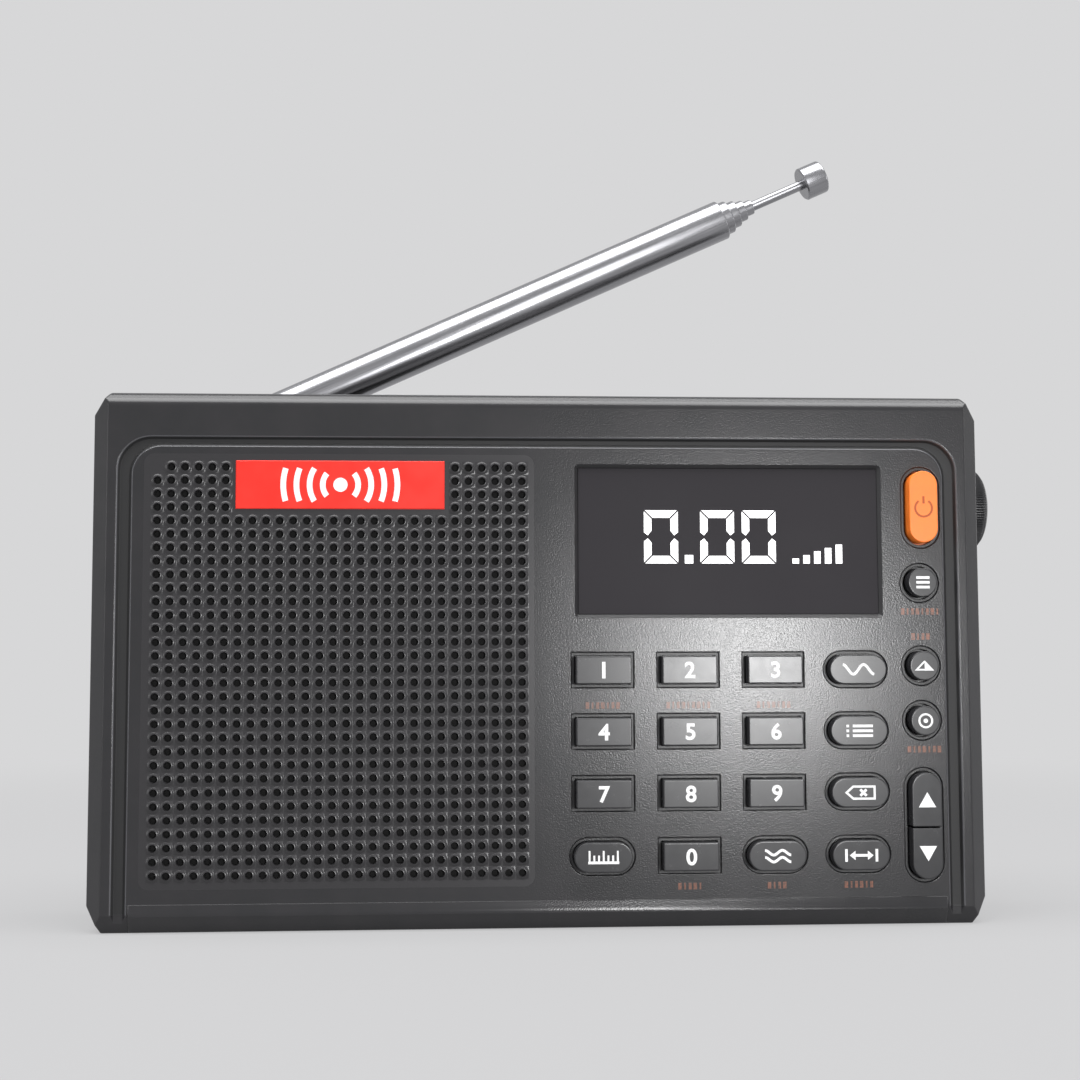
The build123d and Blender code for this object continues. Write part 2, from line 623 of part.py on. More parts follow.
def turret_screw():
    """Cap nut on the stub, inside the case."""
    wall_inside = CHANNEL_WALL_Y - WALL - PIVOT[1]
    stub_end = CHANNEL_WALL_Y - PIVOT[1] - 3.6
    nut = rod_y(0, 0, 2.3, stub_end - 0.8, wall_inside - 0.2)
    return nut - rod_y(0, 0, STUB_R, stub_end, wall_inside)


def elbow_pin():
    return Cylinder(ELBOW_PIN_R, 2 * TURRET_R - 0.4)


def antenna_tongue():
    """Flat blade on the elbow pin, with the round plug that the largest tube is pressed on."""
    blade_r = 2.9
    outline = Circle(blade_r) + Pos(TUBE_START / 2, 0) * Rectangle(TUBE_START, 2 * blade_r)
    blade = extrude(outline, BLADE_HALF, both=True)
    plug_r = TUBE_RADII[0] - TUBE_WALL
    blade += turned_x((TUBE_START, 0), (TUBE_START, plug_r), (TUBE_START + PLUG, plug_r),
                      (TUBE_START + PLUG, 0))
    return blade - Cylinder(ELBOW_PIN_R + RUNNING_GAP, 4 * BLADE_HALF)


def tube_foot(index):
    """Where a sliding tube starts when the antenna is pushed in."""
    return TUBE_START + PLUG + 1.5 * index


def antenna_tube(index):
    """Drawn tube with a rolled neck at its mouth and a guide bush at its foot."""
    radius = TUBE_RADII[index]
    bore = radius - TUBE_WALL
    inner = TUBE_RADII[index + 1] if index + 1 < len(TUBE_RADII) else ROD_R
    neck = inner + RUNNING_GAP
    end = TUBE_END + index * TUBE_STEP
    if index == 0:
        foot = [(TUBE_START, bore), (TUBE_START, radius)]
    else:
        start = tube_foot(index)
        bush = TUBE_RADII[index - 1] - TUBE_WALL - RUNNING_GAP
        foot = [(start, bore), (start, bush), (start + BUSH, bush), (start + BUSH, radius)]
    mouth = [(end - 0.3, radius), (end, radius - 0.2), (end, neck), (end - NECK, neck),
             (end - NECK, bore)]
    return turned_x(*foot, *mouth)


def antenna_rod():
    """Tip rod, with its guide bush inside the last tube."""
    start = tube_foot(len(TUBE_RADII) - 1) + ROD_INWARD + 0.5
    bush = TUBE_RADII[-1] - TUBE_WALL - RUNNING_GAP
    return turned_x((start, 0), (start, bush), (start + BUSH, bush), (start + BUSH, ROD_R),
                    (CAP_SPAN[0] + 2.0, ROD_R), (CAP_SPAN[0] + 2.0, 0))


def antenna_cap():
    a, b = CAP_SPAN
    return turned_x((a + 2.0, 0), (a + 2.0, ROD_R), (a, ROD_R), (a, CAP_R - 0.2), (a + 0.2, CAP_R),
                    (b - 0.5, CAP_R), (b, CAP_R - 0.5), (b, 0))


# ================================================================ build
def build():
    os.makedirs("parts", exist_ok=True)
    shell = hollow_case()
    save(front_case(shell), "front_case")
    save(rear_case(shell), "rear_case")
    save(screws(CASE_SCREWS, 2.0, (12.0, 13.4), 1.0, -6.5), "case_screws")
    save(screws(BOARD_SCREWS, 1.5, (BOARD_Y[1], -6.0), 0.8, -11.5), "pcb_screws")

    save(speaker_grille(), "speaker_grille")
    save(name_plate(), "name_plate")
    save(rod_y(SPEAKER_X, SPEAKER_Z, 26.5, FRONT_Y + GRILLE_THICK, FRONT_Y + GRILLE_THICK + 0.3),
         "grille_cloth")
    save(speaker_frame(), "speaker_frame")
    save(speaker_cone(), "speaker_cone")
    save(speaker_magnet(), "speaker_magnet")

    save(slab(rectangle(DISPLAY), *LENS_Y), "display_lens")
    save(slab(rectangle(DISPLAY, -1.2), FRONT_INSIDE_Y, -9.6), "lcd_panel")
    save(lcd_frame(), "lcd_frame")
    save(main_pcb(), "main_pcb")
    save(key_mat(), "key_mat")
    ferrite = rod_x(*FERRITE_AT, FERRITE_R, *FERRITE_X)
    save(ferrite, "ferrite_rod")
    save(rod_x(*FERRITE_AT, COIL_R, *COIL_X) - ferrite, "ferrite_coil")
    save(earphone_jack(), "earphone_jack")
    save(dc_socket(), "dc_socket")

    save(side_knob(), "side_knob")
    save(encoder_shaft(), "encoder_shaft")
    save(encoder_body(), "encoder_body")
    save(battery_door(), "battery_door")
    save(battery(), "battery")
    save(battery_contacts(), "battery_contacts")
    save(kickstand(), "kickstand")

    antenna = {"antenna_turret": antenna_turret(), "turret_screw": turret_screw(),
               "elbow_pin": elbow_pin(), "antenna_tongue": antenna_tongue(),
               "antenna_rod": antenna_rod(), "antenna_cap": antenna_cap()}
    for index in range(len(TUBE_RADII)):
        antenna[f"antenna_tube_{index + 1}"] = antenna_tube(index)
    for name, piece in antenna.items():
        save(ANTENNA_AT * piece, name)

    for name, (kind, x, z) in key_table().items():
        save(key(kind, x, z), name)
    x, z = ROCKER_AT
    reach = (x - 6, x + 6)
    save(key("rocker", x, z, (*reach, ROCKER_SPLIT[1], z + 12)), "key_up")
    save(key("rocker", x, z, (*reach, z - 12, ROCKER_SPLIT[0])), "key_down")


build()
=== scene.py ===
import json
import bpy
import numpy as np
from math import asin, atan2, cos, pi, radians, sin
from mathutils import Matrix, Vector
from mathutils.geometry import tessellate_polygon

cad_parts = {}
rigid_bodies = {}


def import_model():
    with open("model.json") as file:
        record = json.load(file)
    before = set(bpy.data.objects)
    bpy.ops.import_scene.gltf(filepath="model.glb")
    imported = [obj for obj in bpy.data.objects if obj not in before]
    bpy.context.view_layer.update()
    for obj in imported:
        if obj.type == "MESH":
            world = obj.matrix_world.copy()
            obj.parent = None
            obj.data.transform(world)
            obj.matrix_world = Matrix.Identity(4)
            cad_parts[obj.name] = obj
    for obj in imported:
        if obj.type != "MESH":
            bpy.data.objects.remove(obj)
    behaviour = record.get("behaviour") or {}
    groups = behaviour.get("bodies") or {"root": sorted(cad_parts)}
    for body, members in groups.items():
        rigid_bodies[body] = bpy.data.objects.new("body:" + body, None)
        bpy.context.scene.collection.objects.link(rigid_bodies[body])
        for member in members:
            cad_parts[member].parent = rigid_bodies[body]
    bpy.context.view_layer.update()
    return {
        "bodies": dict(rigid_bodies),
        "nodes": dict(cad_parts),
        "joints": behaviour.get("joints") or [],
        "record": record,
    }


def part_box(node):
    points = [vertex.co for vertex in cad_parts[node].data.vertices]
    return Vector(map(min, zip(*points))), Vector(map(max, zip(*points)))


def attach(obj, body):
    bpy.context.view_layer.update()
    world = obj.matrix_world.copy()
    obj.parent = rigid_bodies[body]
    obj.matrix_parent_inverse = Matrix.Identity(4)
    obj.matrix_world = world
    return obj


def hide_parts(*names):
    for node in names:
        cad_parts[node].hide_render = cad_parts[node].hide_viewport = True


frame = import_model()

nodes = frame["nodes"]
joints = {joint["name"]: joint for joint in frame["joints"]}
MM = 0.001

# ------------------------------------------------------------------ case mouldings
# Front and rear shells, moulded in dark grey plastic with a spark-eroded grain that fades
# out over the loudspeaker side, where the tool was polished. The CAD shells are kept, and
# their edges are eased in the shading, as the tool's small radii ease them. Painted shade
# darkens the groove's floor and, less, the steps round the keys, and a painted highlight
# lightens the groove's edges.
GRAIN_SIZE = 0.24 * MM
GRAIN_DEPTH = 0.011 * MM
GRAIN_IN_X = (-6.0 * MM, 2.0 * MM)          # from polished to fully grained
POLISHED_SHARE = 0.06                       # of the grain's depth that is left there
PEBBLE_GLOSS = (0.55, 1.25, 0.24, 0.33)     # grain heights, and roughness at each
SUNK_ROUGHER = 0.3
EDGE_EASE = 0.22 * MM
GROOVE_CORNER = (66.95 * MM, 0, 79.4 * MM)  # middle of its upper arcs
GROOVE_REACH = (4.9 * MM, 8.1 * MM)         # radii of its inner and outer edge
GROOVE_FOOT = (3.1 * MM, 3.4 * MM)          # heights between which the groove ends
# Depths over which the painted highlight rises on the groove's edges, and over which it gives way
# to painted shade deeper in.
GROOVE_EDGE = (-14.0 * MM, -13.97 * MM)
GROOVE_DEEP = (-13.86 * MM, -13.75 * MM)
GROOVE_FADE = 0.2 * MM
# Painted shade: the share of the groove floor's darkening that the steps round the keys get.
KEY_STEP_SHARE = 0.35                       # of the groove's darkness, round the keys


def tone(red, green, blue):
    """Screen colour, 0 to 255, as the linear colour that a shader works in: each share c
    becomes ((c + 0.055) / 1.055)^2.4, or c / 12.92 where it is near black."""
    share = np.array([red, green, blue]) / 255
    linear = np.where(share <= 0.04045, share / 12.92, ((share + 0.055) / 1.055) ** 2.4)
    return (*linear.tolist(), 1.0)


def grain_group():
    """Moulded grain: rounded pebbles of smooth Voronoi cells, broken up by finer noise.
    Height is in grain depths. Mottle drifts slowly over a few millimetres."""
    group = bpy.data.node_groups.new("moulded grain", "ShaderNodeTree")
    for name, kind, way in (("Vector", "NodeSocketVector", "INPUT"),
                            ("Scale", "NodeSocketFloat", "INPUT"),
                            ("Height", "NodeSocketFloat", "OUTPUT"),
                            ("Mottle", "NodeSocketFloat", "OUTPUT")):
        group.interface.new_socket(name, in_out=way, socket_type=kind)
    take = group.nodes.new("NodeGroupInput")
    give = group.nodes.new("NodeGroupOutput")
    pebbles = group.nodes.new("ShaderNodeTexVoronoi")
    pebbles.feature = "SMOOTH_F1"
    pebbles.inputs["Smoothness"].default_value = 0.5
    fine = group.nodes.new("ShaderNodeTexNoise")
    fine.inputs["Detail"].default_value = 2.0
    height = group.nodes.new("ShaderNodeMath")
    height.operation = "SUBTRACT"
    slow = group.nodes.new("ShaderNodeTexNoise")
    slow.inputs["Scale"].default_value = 180.0
    link = group.links.new
    for texture in (pebbles, fine):
        link(take.outputs["Vector"], texture.inputs["Vector"])
        link(take.outputs["Scale"], texture.inputs["Scale"])
    link(take.outputs["Vector"], slow.inputs["Vector"])
    link(fine.outputs[0], height.inputs[0])
    link(pebbles.outputs["Distance"], height.inputs[1])
    link(height.outputs[0], give.inputs["Height"])
    link(slow.outputs[0], give.inputs["Mottle"])
    return group


moulded_grain = grain_group()


class Finish:
    """A procedural material under construction: its node tree and Principled shader."""

    def __init__(self, name, colour, roughness, **sockets):
        self.material = bpy.data.materials.new(name)
        self.material.use_nodes = True
        self.tree = self.material.node_tree
        self.shader = self.tree.nodes["Principled BSDF"]
        self.place = self.node("ShaderNodeTexCoord").outputs["Object"]
        sockets.update(Base_Color=colour, Roughness=roughness)
        for socket, value in sockets.items():
            self.shader.inputs[socket.replace("_", " ")].default_value = value

    def node(self, kind, operation=None, **inputs):
        """New node with some of its inputs set."""
        made = self.tree.nodes.new(kind)
        if operation:
            made.operation = operation
        for socket, value in inputs.items():
            made.inputs[socket.replace("_", " ")].default_value = value
        return made

    def link(self, source, target):
        """Joins an output to an input."""
        self.tree.links.new(source, target)

    def feed(self, source, socket):
        """Drives one socket of the shader."""
        self.link(source, self.shader.inputs[socket])

    def axis(self, letter):
        """One object coordinate."""
        split = self.node("ShaderNodeSeparateXYZ")
        self.link(self.place, split.inputs[0])
        return split.outputs[letter]

    def span(self, value, low, high, to_low, to_high):
        """Value carried from one range to another, held at the ends."""
        made = self.node("ShaderNodeMapRange", From_Min=low, From_Max=high,
                         To_Min=to_low, To_Max=to_high)
        self.link(value, made.inputs["Value"])
        return made.outputs["Result"]

    def maths(self, first, second, operation="MULTIPLY"):
        """Two linked values combined, as their product unless told otherwise."""
        made = self.node("ShaderNodeMath", operation)
        self.link(first, made.inputs[0])
        self.link(second, made.inputs[1])
        return made.outputs[0]

    def blend(self, share, low, high):
        """Colour that runs from low to high, set or linked, as share goes from 0 to 1."""
        made = self.node("ShaderNodeMix")
        made.data_type = "RGBA"
        for socket, colour in (("A", low), ("B", high)):
            if isinstance(colour, tuple):
                made.inputs[socket].default_value = colour
            else:
                self.link(colour, made.inputs[socket])
        self.link(share, made.inputs["Factor"])
        return made.outputs["Result"]

    def noise(self, scale, detail=2.0):
        """Even noise over object coordinates."""
        made = self.node("ShaderNodeTexNoise", Scale=scale, Detail=detail)
        self.link(self.place, made.inputs["Vector"])
        return made.outputs[0]

    def streaks(self, lengths, turn):
        """Noise drawn out to a length along each axis of a turned frame."""
        frame = self.node("ShaderNodeMapping", Scale=lengths, Rotation=turn)
        frame.vector_type = "TEXTURE"
        made = self.node("ShaderNodeTexNoise", Scale=1.0, Detail=3.0)
        self.link(self.place, frame.inputs["Vector"])
        self.link(frame.outputs[0], made.inputs["Vector"])
        return made.outputs[0]

    def grain(self, size, depth, mask=None, ease=0.0):
        """Moulded grain of one pebble size and depth, on edges eased by a small radius.
        Returns its height and its slow mottle."""
        made = self.node("ShaderNodeGroup")
        made.node_tree = moulded_grain
        made.inputs["Scale"].default_value = 1 / size
        self.link(self.place, made.inputs["Vector"])
        height = made.outputs["Height"]
        bump = self.node("ShaderNodeBump", Distance=depth)
        self.link(self.maths(height, mask) if mask else height, bump.inputs["Height"])
        if ease:
            eased = self.node("ShaderNodeBevel", Radius=ease)
            self.link(eased.outputs[0], bump.inputs["Normal"])
        self.feed(bump.outputs[0], "Normal")
        return height, made.outputs["Mottle"]

    def vary(self, share, colours, roughness):
        """Colour and roughness that drift together with a slow 0.3 to 0.7 pattern."""
        even = self.span(share, 0.3, 0.7, 0.0, 1.0)
        self.feed(self.blend(even, *colours), "Base Color")
        self.feed(self.span(even, 0.0, 1.0, *roughness), "Roughness")


def dress(finish, *names):
    """Puts a finish on CAD nodes."""
    for name in names:
        nodes[name].data.materials.clear()
        nodes[name].data.materials.append(finish.material)


def groove_shade_and_highlight(finish):
    """Shares of the painted shade on the floors let into the front and of the painted highlight
    along the groove's edges: by depth, and by the distance from a rectangle with its upper
    corners at (+-a, b), which is sqrt(max(|x| - a, 0)^2 + max(z - b, 0)^2). The steps round
    the keys, inside the ring of the groove, get less painted shade than its floor."""
    source = finish.place
    for operation, value in (("ABSOLUTE", None), ("SUBTRACT", GROOVE_CORNER),
                             ("MAXIMUM", (0, 0, 0)), ("MULTIPLY", (1, 0, 1)), ("LENGTH", None)):
        step = finish.node("ShaderNodeVectorMath", operation)
        finish.link(source, step.inputs[0])
        if value is not None:
            step.inputs[1].default_value = value
        source = step.outputs["Value" if operation == "LENGTH" else "Vector"]
    low, high = GROOVE_REACH
    inside = finish.maths(finish.span(source, high, high + GROOVE_FADE, 1.0, 0.0),
                          finish.span(finish.axis("Z"), *GROOVE_FOOT, 0.0, 1.0))
    ring = finish.maths(inside, finish.span(source, low - GROOVE_FADE, low, 0.0, 1.0))
    floor = finish.maths(inside, finish.span(ring, 0.0, 1.0, KEY_STEP_SHARE, 1.0))
    depth = finish.axis("Y")
    painted_edge_highlight = finish.maths(finish.span(depth, *GROOVE_EDGE, 0.0, 1.0),
                          finish.span(depth, *GROOVE_DEEP, 1.0, 0.0))
    return (finish.maths(floor, finish.span(depth, *GROOVE_DEEP, 0.0, 1.0)),
            finish.maths(ring, painted_edge_highlight))


case_plastic = Finish("case plastic", tone(38, 37, 39), 0.3)
grained = case_plastic.span(case_plastic.axis("X"), *GRAIN_IN_X, POLISHED_SHARE, 1.0)
pebbles, mottle = case_plastic.grain(GRAIN_SIZE, GRAIN_DEPTH, grained, EDGE_EASE)
painted_recess_shade, painted_edge_highlight = groove_shade_and_highlight(case_plastic)
body = case_plastic.blend(case_plastic.span(mottle, 0.3, 0.7, 0.0, 1.0),
                          tone(35, 35, 37), tone(40, 39, 41))
# Painted highlight: the groove's edges are lightened towards a pale grey.
body = case_plastic.blend(painted_edge_highlight, body, tone(88, 88, 91))
# Painted shade: the groove's floor and the steps round the keys darken towards near black.
case_plastic.feed(case_plastic.blend(painted_recess_shade, body, tone(24, 24, 25)), "Base Color")
gloss = case_plastic.span(pebbles, *PEBBLE_GLOSS)
duller = case_plastic.span(painted_recess_shade, 0.0, 1.0, 0.0, SUNK_ROUGHER)
case_plastic.feed(case_plastic.maths(gloss, duller, "ADD"), "Roughness")
dress(case_plastic, "front_case", "rear_case", "battery_door", "kickstand")

# ------------------------------------------------------------------ speaker grille
# Separately moulded panel, set in the front shell, dimpled all over in a square pattern
# with a rolled rim round each hole. Holes are left out under the name plate and in the
# rounded upper corner. Each hole darkens down its wall with painted shade and ends here in
# a dark floor that stands in for the dark cloth behind it.
HOLE_PITCH = 2.365 * MM
HOLE_COLUMNS, HOLE_ROWS = 28, 31
FIRST_HOLE = (-67.56 * MM, 80.75 * MM)
PLATE_COLUMNS, PLATE_ROWS = range(6, 22), range(0, 4)
HOLE_STEPS = 16
HOLE_RINGS = np.array([(1.14, 0.0), (1.02, -0.13), (0.70, -0.19), (0.48, 0.85)]) * MM   # radius, y
HOLE_SHADE = (-13.9 * MM, -13.5 * MM)       # y where a hole starts to darken, and is darkest
GRILLE_CORNER = 1.45 * MM
GRILLE_LAP = 0.35 * MM
GRILLE_PROUD = 0.012 * MM


def rounded_outline(low, high, radii, arc_steps=8):
    """Rectangle from low to high, (x, z), with quarter-circle corners of the radii given
    for the lower right, upper right, upper left and lower left, run anticlockwise."""
    (x0, z0), (x1, z1) = low, high
    parts = []
    for quarter, radius in enumerate(radii):
        angle = np.linspace(-pi / 2, 0, arc_steps) + quarter * pi / 2
        centre_x = x1 - radius if quarter < 2 else x0 + radius
        centre_z = z1 - radius if quarter in (1, 2) else z0 + radius
        parts.append(np.column_stack([centre_x + radius * np.cos(angle),
                                      centre_z + radius * np.sin(angle)]))
    return np.vstack(parts)


def ring_faces(rings, steps, first=0, loop=False):
    """Quads between rings of steps points each. Seen from the side that the rings move
    towards, each ring runs anticlockwise. A loop joins the last ring to the first."""
    ring, step = np.meshgrid(np.arange(rings if loop else rings - 1), np.arange(steps),
                             indexing="ij")
    after, above = (step + 1) % steps, (ring + 1) % rings
    quads = np.stack([ring * steps + step, ring * steps + after,
                      above * steps + after, above * steps + step], axis=-1)
    return (first + quads).reshape(-1, 4).tolist()


def skin(rings, loop=False):
    """Closed surface through rings of points, capped at both ends unless it loops."""
    rings = np.asarray(rings)
    count, steps = rings.shape[:2]
    faces = ring_faces(count, steps, loop=loop)
    if not loop:
        faces.append(list(range(steps))[::-1])
        faces.append(list(range((count - 1) * steps, count * steps)))
    return rings.reshape(-1, 3), faces


def fill(*loops):
    """Triangles that fill flat loops of (x, z) points, the later loops being holes in the
    first, each turned anticlockwise by the sign of its cross product."""
    points = np.vstack(loops)
    triangles = []
    for a, b, c in tessellate_polygon([[Vector((*p, 0)) for p in loop] for loop in loops]):
        (ax, az), (bx, bz), (cx, cz) = points[a], points[b], points[c]
        clockwise = (bx - ax) * (cz - az) < (bz - az) * (cx - ax)
        triangles.append((a, c, b) if clockwise else (a, b, c))
    return triangles


def piece(name, points, faces, body, slot, finish, crease=35):
    """New mesh in the row frame, smooth but for edges sharper than crease degrees."""
    mesh = bpy.data.meshes.new(name)
    mesh.from_pydata(np.asarray(points).tolist(), [], faces)
    mesh.validate()
    mesh.shade_smooth()
    mesh.set_sharp_from_angle(angle=radians(crease))
    mesh.materials.append(finish.material)
    made = bpy.data.objects.new(name, mesh)
    bpy.context.scene.collection.objects.link(made)
    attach(made, body)
    return made


def grille_cell():
    """One cell at the origin: rings from its square edge, over the rim and down the hole."""
    turn = np.arange(HOLE_STEPS) * 2 * pi / HOLE_STEPS
    edge = HOLE_PITCH / 2 / np.maximum(abs(np.cos(turn)), abs(np.sin(turn)))
    radius = np.vstack([edge, np.repeat(HOLE_RINGS[:, :1], HOLE_STEPS, axis=1)])
    depth = np.repeat(np.append(0.0, HOLE_RINGS[:, 1])[:, None], HOLE_STEPS, axis=1)
    return np.stack([radius * np.cos(turn), depth, radius * np.sin(turn)], axis=-1)


def grille_mesh():
    """Dimpled front, cell by cell, then a plain margin, the edge and a flat back."""
    low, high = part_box("speaker_grille")
    front = low.y - GRILLE_PROUD
    cell = grille_cell()
    rings = len(cell)
    column, row = np.meshgrid(np.arange(HOLE_COLUMNS), np.arange(HOLE_ROWS), indexing="ij")
    centres = np.stack([FIRST_HOLE[0] + column * HOLE_PITCH, np.full(column.shape, front),
                        FIRST_HOLE[1] - row * HOLE_PITCH], axis=-1)
    bare = np.isin(column, PLATE_COLUMNS) & np.isin(row, PLATE_ROWS)
    bare |= (column == 0) & (row == 0)
    points, faces, first = [], [], 0
    for centre in centres[~bare]:
        points.append((cell + centre).reshape(-1, 3))
        faces += ring_faces(rings, HOLE_STEPS, first)
        first += rings * HOLE_STEPS
        faces.append(list(range(first - HOLE_STEPS, first)))
    for centre in centres[bare]:
        points.append(cell[0] + centre)
        faces.append(list(range(first, first + HOLE_STEPS)))
        first += HOLE_STEPS

    lap = GRILLE_LAP
    outline = rounded_outline((low.x - lap, low.z - lap), (high.x + lap, high.z + lap),
                              [GRILLE_CORNER + lap] * 4)
    x0, z1 = FIRST_HOLE[0] - HOLE_PITCH / 2, FIRST_HOLE[1] + HOLE_PITCH / 2
    x1, z0 = x0 + HOLE_COLUMNS * HOLE_PITCH, z1 - HOLE_ROWS * HOLE_PITCH
    window = np.array([(x0, z0), (x1, z0), (x1, z1), (x0, z1)])
    faces += [[first + i for i in triangle] for triangle in fill(outline, window)]
    margin = np.vstack([outline, window])
    points.append(np.insert(margin, 1, front, axis=1))
    first += len(margin)

    seat = rounded_outline((low.x, low.z), (high.x, high.z), [GRILLE_CORNER] * 4)
    edge = [np.insert(seat, 1, high.y, axis=1), np.insert(seat, 1, low.y, axis=1),
            np.insert(outline, 1, low.y, axis=1), np.insert(outline, 1, front, axis=1)]
    steps = len(seat)
    points += edge
    faces += ring_faces(len(edge), steps, first)
    faces.append(list(range(first, first + steps))[::-1])
    return np.vstack(points), faces


grille_plastic = Finish("grille plastic", tone(46, 46, 48), 0.42)
grille_plastic.grain(GRAIN_SIZE, 0.3 * GRAIN_DEPTH)
# Painted shade: each hole's wall darkens with depth, down to its floor.
painted_hole_shade = grille_plastic.span(grille_plastic.axis("Y"), *HOLE_SHADE, 0.0, 1.0)
grille_plastic.feed(grille_plastic.blend(painted_hole_shade, tone(43, 42, 44), tone(23, 23, 23)), "Base Color")
grille_plastic.feed(grille_plastic.span(painted_hole_shade, 0.0, 1.0, 0.29, 0.9), "Roughness")
grille = piece("dimpled_grille", *grille_mesh(), "case", "grille_plastic", grille_plastic,
               crease=50)
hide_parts("speaker_grille")

# ------------------------------------------------------------------ foot lip
# The face swells a little along its foot, moulded in one with the front shell. This skin
# carries the swelling on to the groove and lets it run out smoothly at both ends.
LIP_HALF = 71.8 * MM
LIP_PROUD = 0.38 * MM
LIP_RUN_OUT = 0.4 * MM
LIP_PLAIN = np.array([(-13.4, 5.0), (-14.0, 4.98), (-14.0, 3.75), (-14.0, 3.35), (-14.0, 3.1),
                      (-12.57, 0.14), (-12.2, 0.14)]) * MM
LIP_MOVE = np.array([(0, 0), (0, 0), (-0.75, 0), (-1, 0), (-1, -0.45), (-0.32, 0), (0, 0)])


def lip_mesh():
    """Section of (y, z) points plain + s move, carried along x. The swelling s is
    LIP_PROUD (3 t^2 - 2 t^3), where t rises from 0 to 1 over the run-out at each end."""
    along = np.concatenate([np.linspace(-LIP_HALF, -LIP_HALF + LIP_RUN_OUT, 6),
                            np.linspace(LIP_HALF - LIP_RUN_OUT, LIP_HALF, 6)])
    share = np.clip((LIP_HALF - np.abs(along)) / LIP_RUN_OUT, 0, 1)
    swelling = LIP_PROUD * share ** 2 * (3 - 2 * share)
    section = LIP_PLAIN + np.multiply.outer(swelling, LIP_MOVE)
    return skin(np.insert(section, 0, along[:, None], axis=2))


piece("foot_lip", *lip_mesh(), "case", "case_plastic", case_plastic, crease=25)

# ------------------------------------------------------------------ name plate
# Red moulded plate, let into the grille, with no name on it. In its place stands a plain
# broadcast symbol: a dot with four arcs to each side, printed in white.
SYMBOL_DOT = 1.25 * MM
SYMBOL_ARCS = [reach * MM for reach in (3.1, 5.4, 7.7, 10.0)]
SYMBOL_HALF_HEIGHT = 2.9 * MM
SYMBOL_HALF_ANGLE = radians(40)
SYMBOL_LINE = 1.0 * MM
PRINT_THICK, MARK_THICK = 0.03 * MM, 0.012 * MM


def arc(radius, start, end, centre=(0.0, 0.0), steps=24):
    """Points of a circular arc in (x, z), anticlockwise from start to end in radians."""
    angle = np.linspace(start, end, steps)
    return np.column_stack([centre[0] + radius * np.cos(angle),
                            centre[1] + radius * np.sin(angle)])


def disc(radius, steps):
    """Outline of a disc: a whole turn in even steps."""
    return arc(radius, 0, 2 * pi * (steps - 1) / steps, steps=steps)


def ribbon(path, width):
    """Outline of a line of one width along a path: each point is set off along the mean
    of its two neighbouring normals, by width / 2 over the cosine of half the bend."""
    path = np.asarray(path, dtype=float)
    step = np.diff(path, axis=0)
    step /= np.linalg.norm(step, axis=1)[:, None]
    normal = np.column_stack([-step[:, 1], step[:, 0]])
    mean = np.vstack([normal[:1], normal[:-1] + normal[1:], normal[-1:]])
    mean /= np.linalg.norm(mean, axis=1)[:, None]
    lean = np.einsum("ij,ij->i", mean, np.vstack([normal, normal[-1:]]))
    off = mean * (width / 2 / lean)[:, None]
    return np.vstack([path - off, (path + off)[::-1]])


def bar(x, z, width, height):
    """Outline of an upright rectangle centred on (x, z)."""
    return np.array([(x - width / 2, z - height / 2), (x + width / 2, z - height / 2),
                     (x + width / 2, z + height / 2), (x - width / 2, z + height / 2)])


def printed(name, outlines, at, body, slot, finish, thick=PRINT_THICK):
    """Flat print: each outline, in (x, z) about at, raised by its thickness towards -Y.
    Later outlines are laid a little thicker, so that crossing lines don't share a face."""
    points, faces, first = [], [], 0
    for outline in outlines:
        thick *= 1.03
        outline = np.asarray(outline)
        after = np.roll(outline, -1, axis=0)
        if np.sum(outline[:, 0] * after[:, 1] - after[:, 0] * outline[:, 1]) < 0:
            outline = outline[::-1]
        count = len(outline)
        flat = outline + (at[0], at[2])
        points += [np.insert(flat, 1, at[1] + thick, axis=1),
                   np.insert(flat, 1, at[1] - thick, axis=1)]
        faces += ring_faces(2, count, first)
        for a, b, c in fill(outline):
            faces += [[first + count + i for i in (a, b, c)], [first + i for i in (a, c, b)]]
        first += 2 * count
    return piece(name, np.vstack(points), faces, body, slot, finish)


plate_red = Finish("plate red", tone(255, 70, 55), 0.35, Specular_IOR_Level=0.35)
plate_red.vary(plate_red.noise(300), (tone(238, 48, 38), tone(246, 54, 43)), (0.30, 0.38))
dress(plate_red, "name_plate")
print_white = Finish("print white", tone(244, 244, 244), 0.5)
print_white.vary(print_white.noise(900), (tone(238, 238, 238), tone(250, 250, 250)), (0.45, 0.55))
low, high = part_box("name_plate")
symbol = [disc(SYMBOL_DOT, 48)]
for radius in SYMBOL_ARCS:
    half = min(asin(min(SYMBOL_HALF_HEIGHT / radius, 1)), SYMBOL_HALF_ANGLE)
    for side in (0, pi):
        symbol.append(ribbon(arc(radius, side - half, side + half), SYMBOL_LINE))
printed("plate_symbol", symbol, ((low.x + high.x) / 2, low.y, (low.z + high.z) / 2),
        "case", "plate_red", print_white)

# ------------------------------------------------------------------ display
# Smoked anti-glare window of acrylic, set into the front over the panel, with lit white
# segments: a zero reading, and a rising row of bars where a unit would stand.
DIGIT_LINE = 1.35 * MM
DIGIT_GAP = 0.2 * MM
DIGIT_WIDTH = 6.1 * MM
DIGITS_X = (18.1 * MM, 28.2 * MM, 35.7 * MM)
DIGITS_Z = (63.9 * MM, 73.4 * MM)
POINT_X = (25.4 * MM, 26.9 * MM)
SIGNAL_X = (44.4 * MM, 54.2 * MM)
SIGNAL_HEIGHTS = [height * MM for height in (0.9, 1.5, 2.2, 2.8, 3.4)]
SIGNAL_SHARE = 0.6    # of each bar's place that it fills


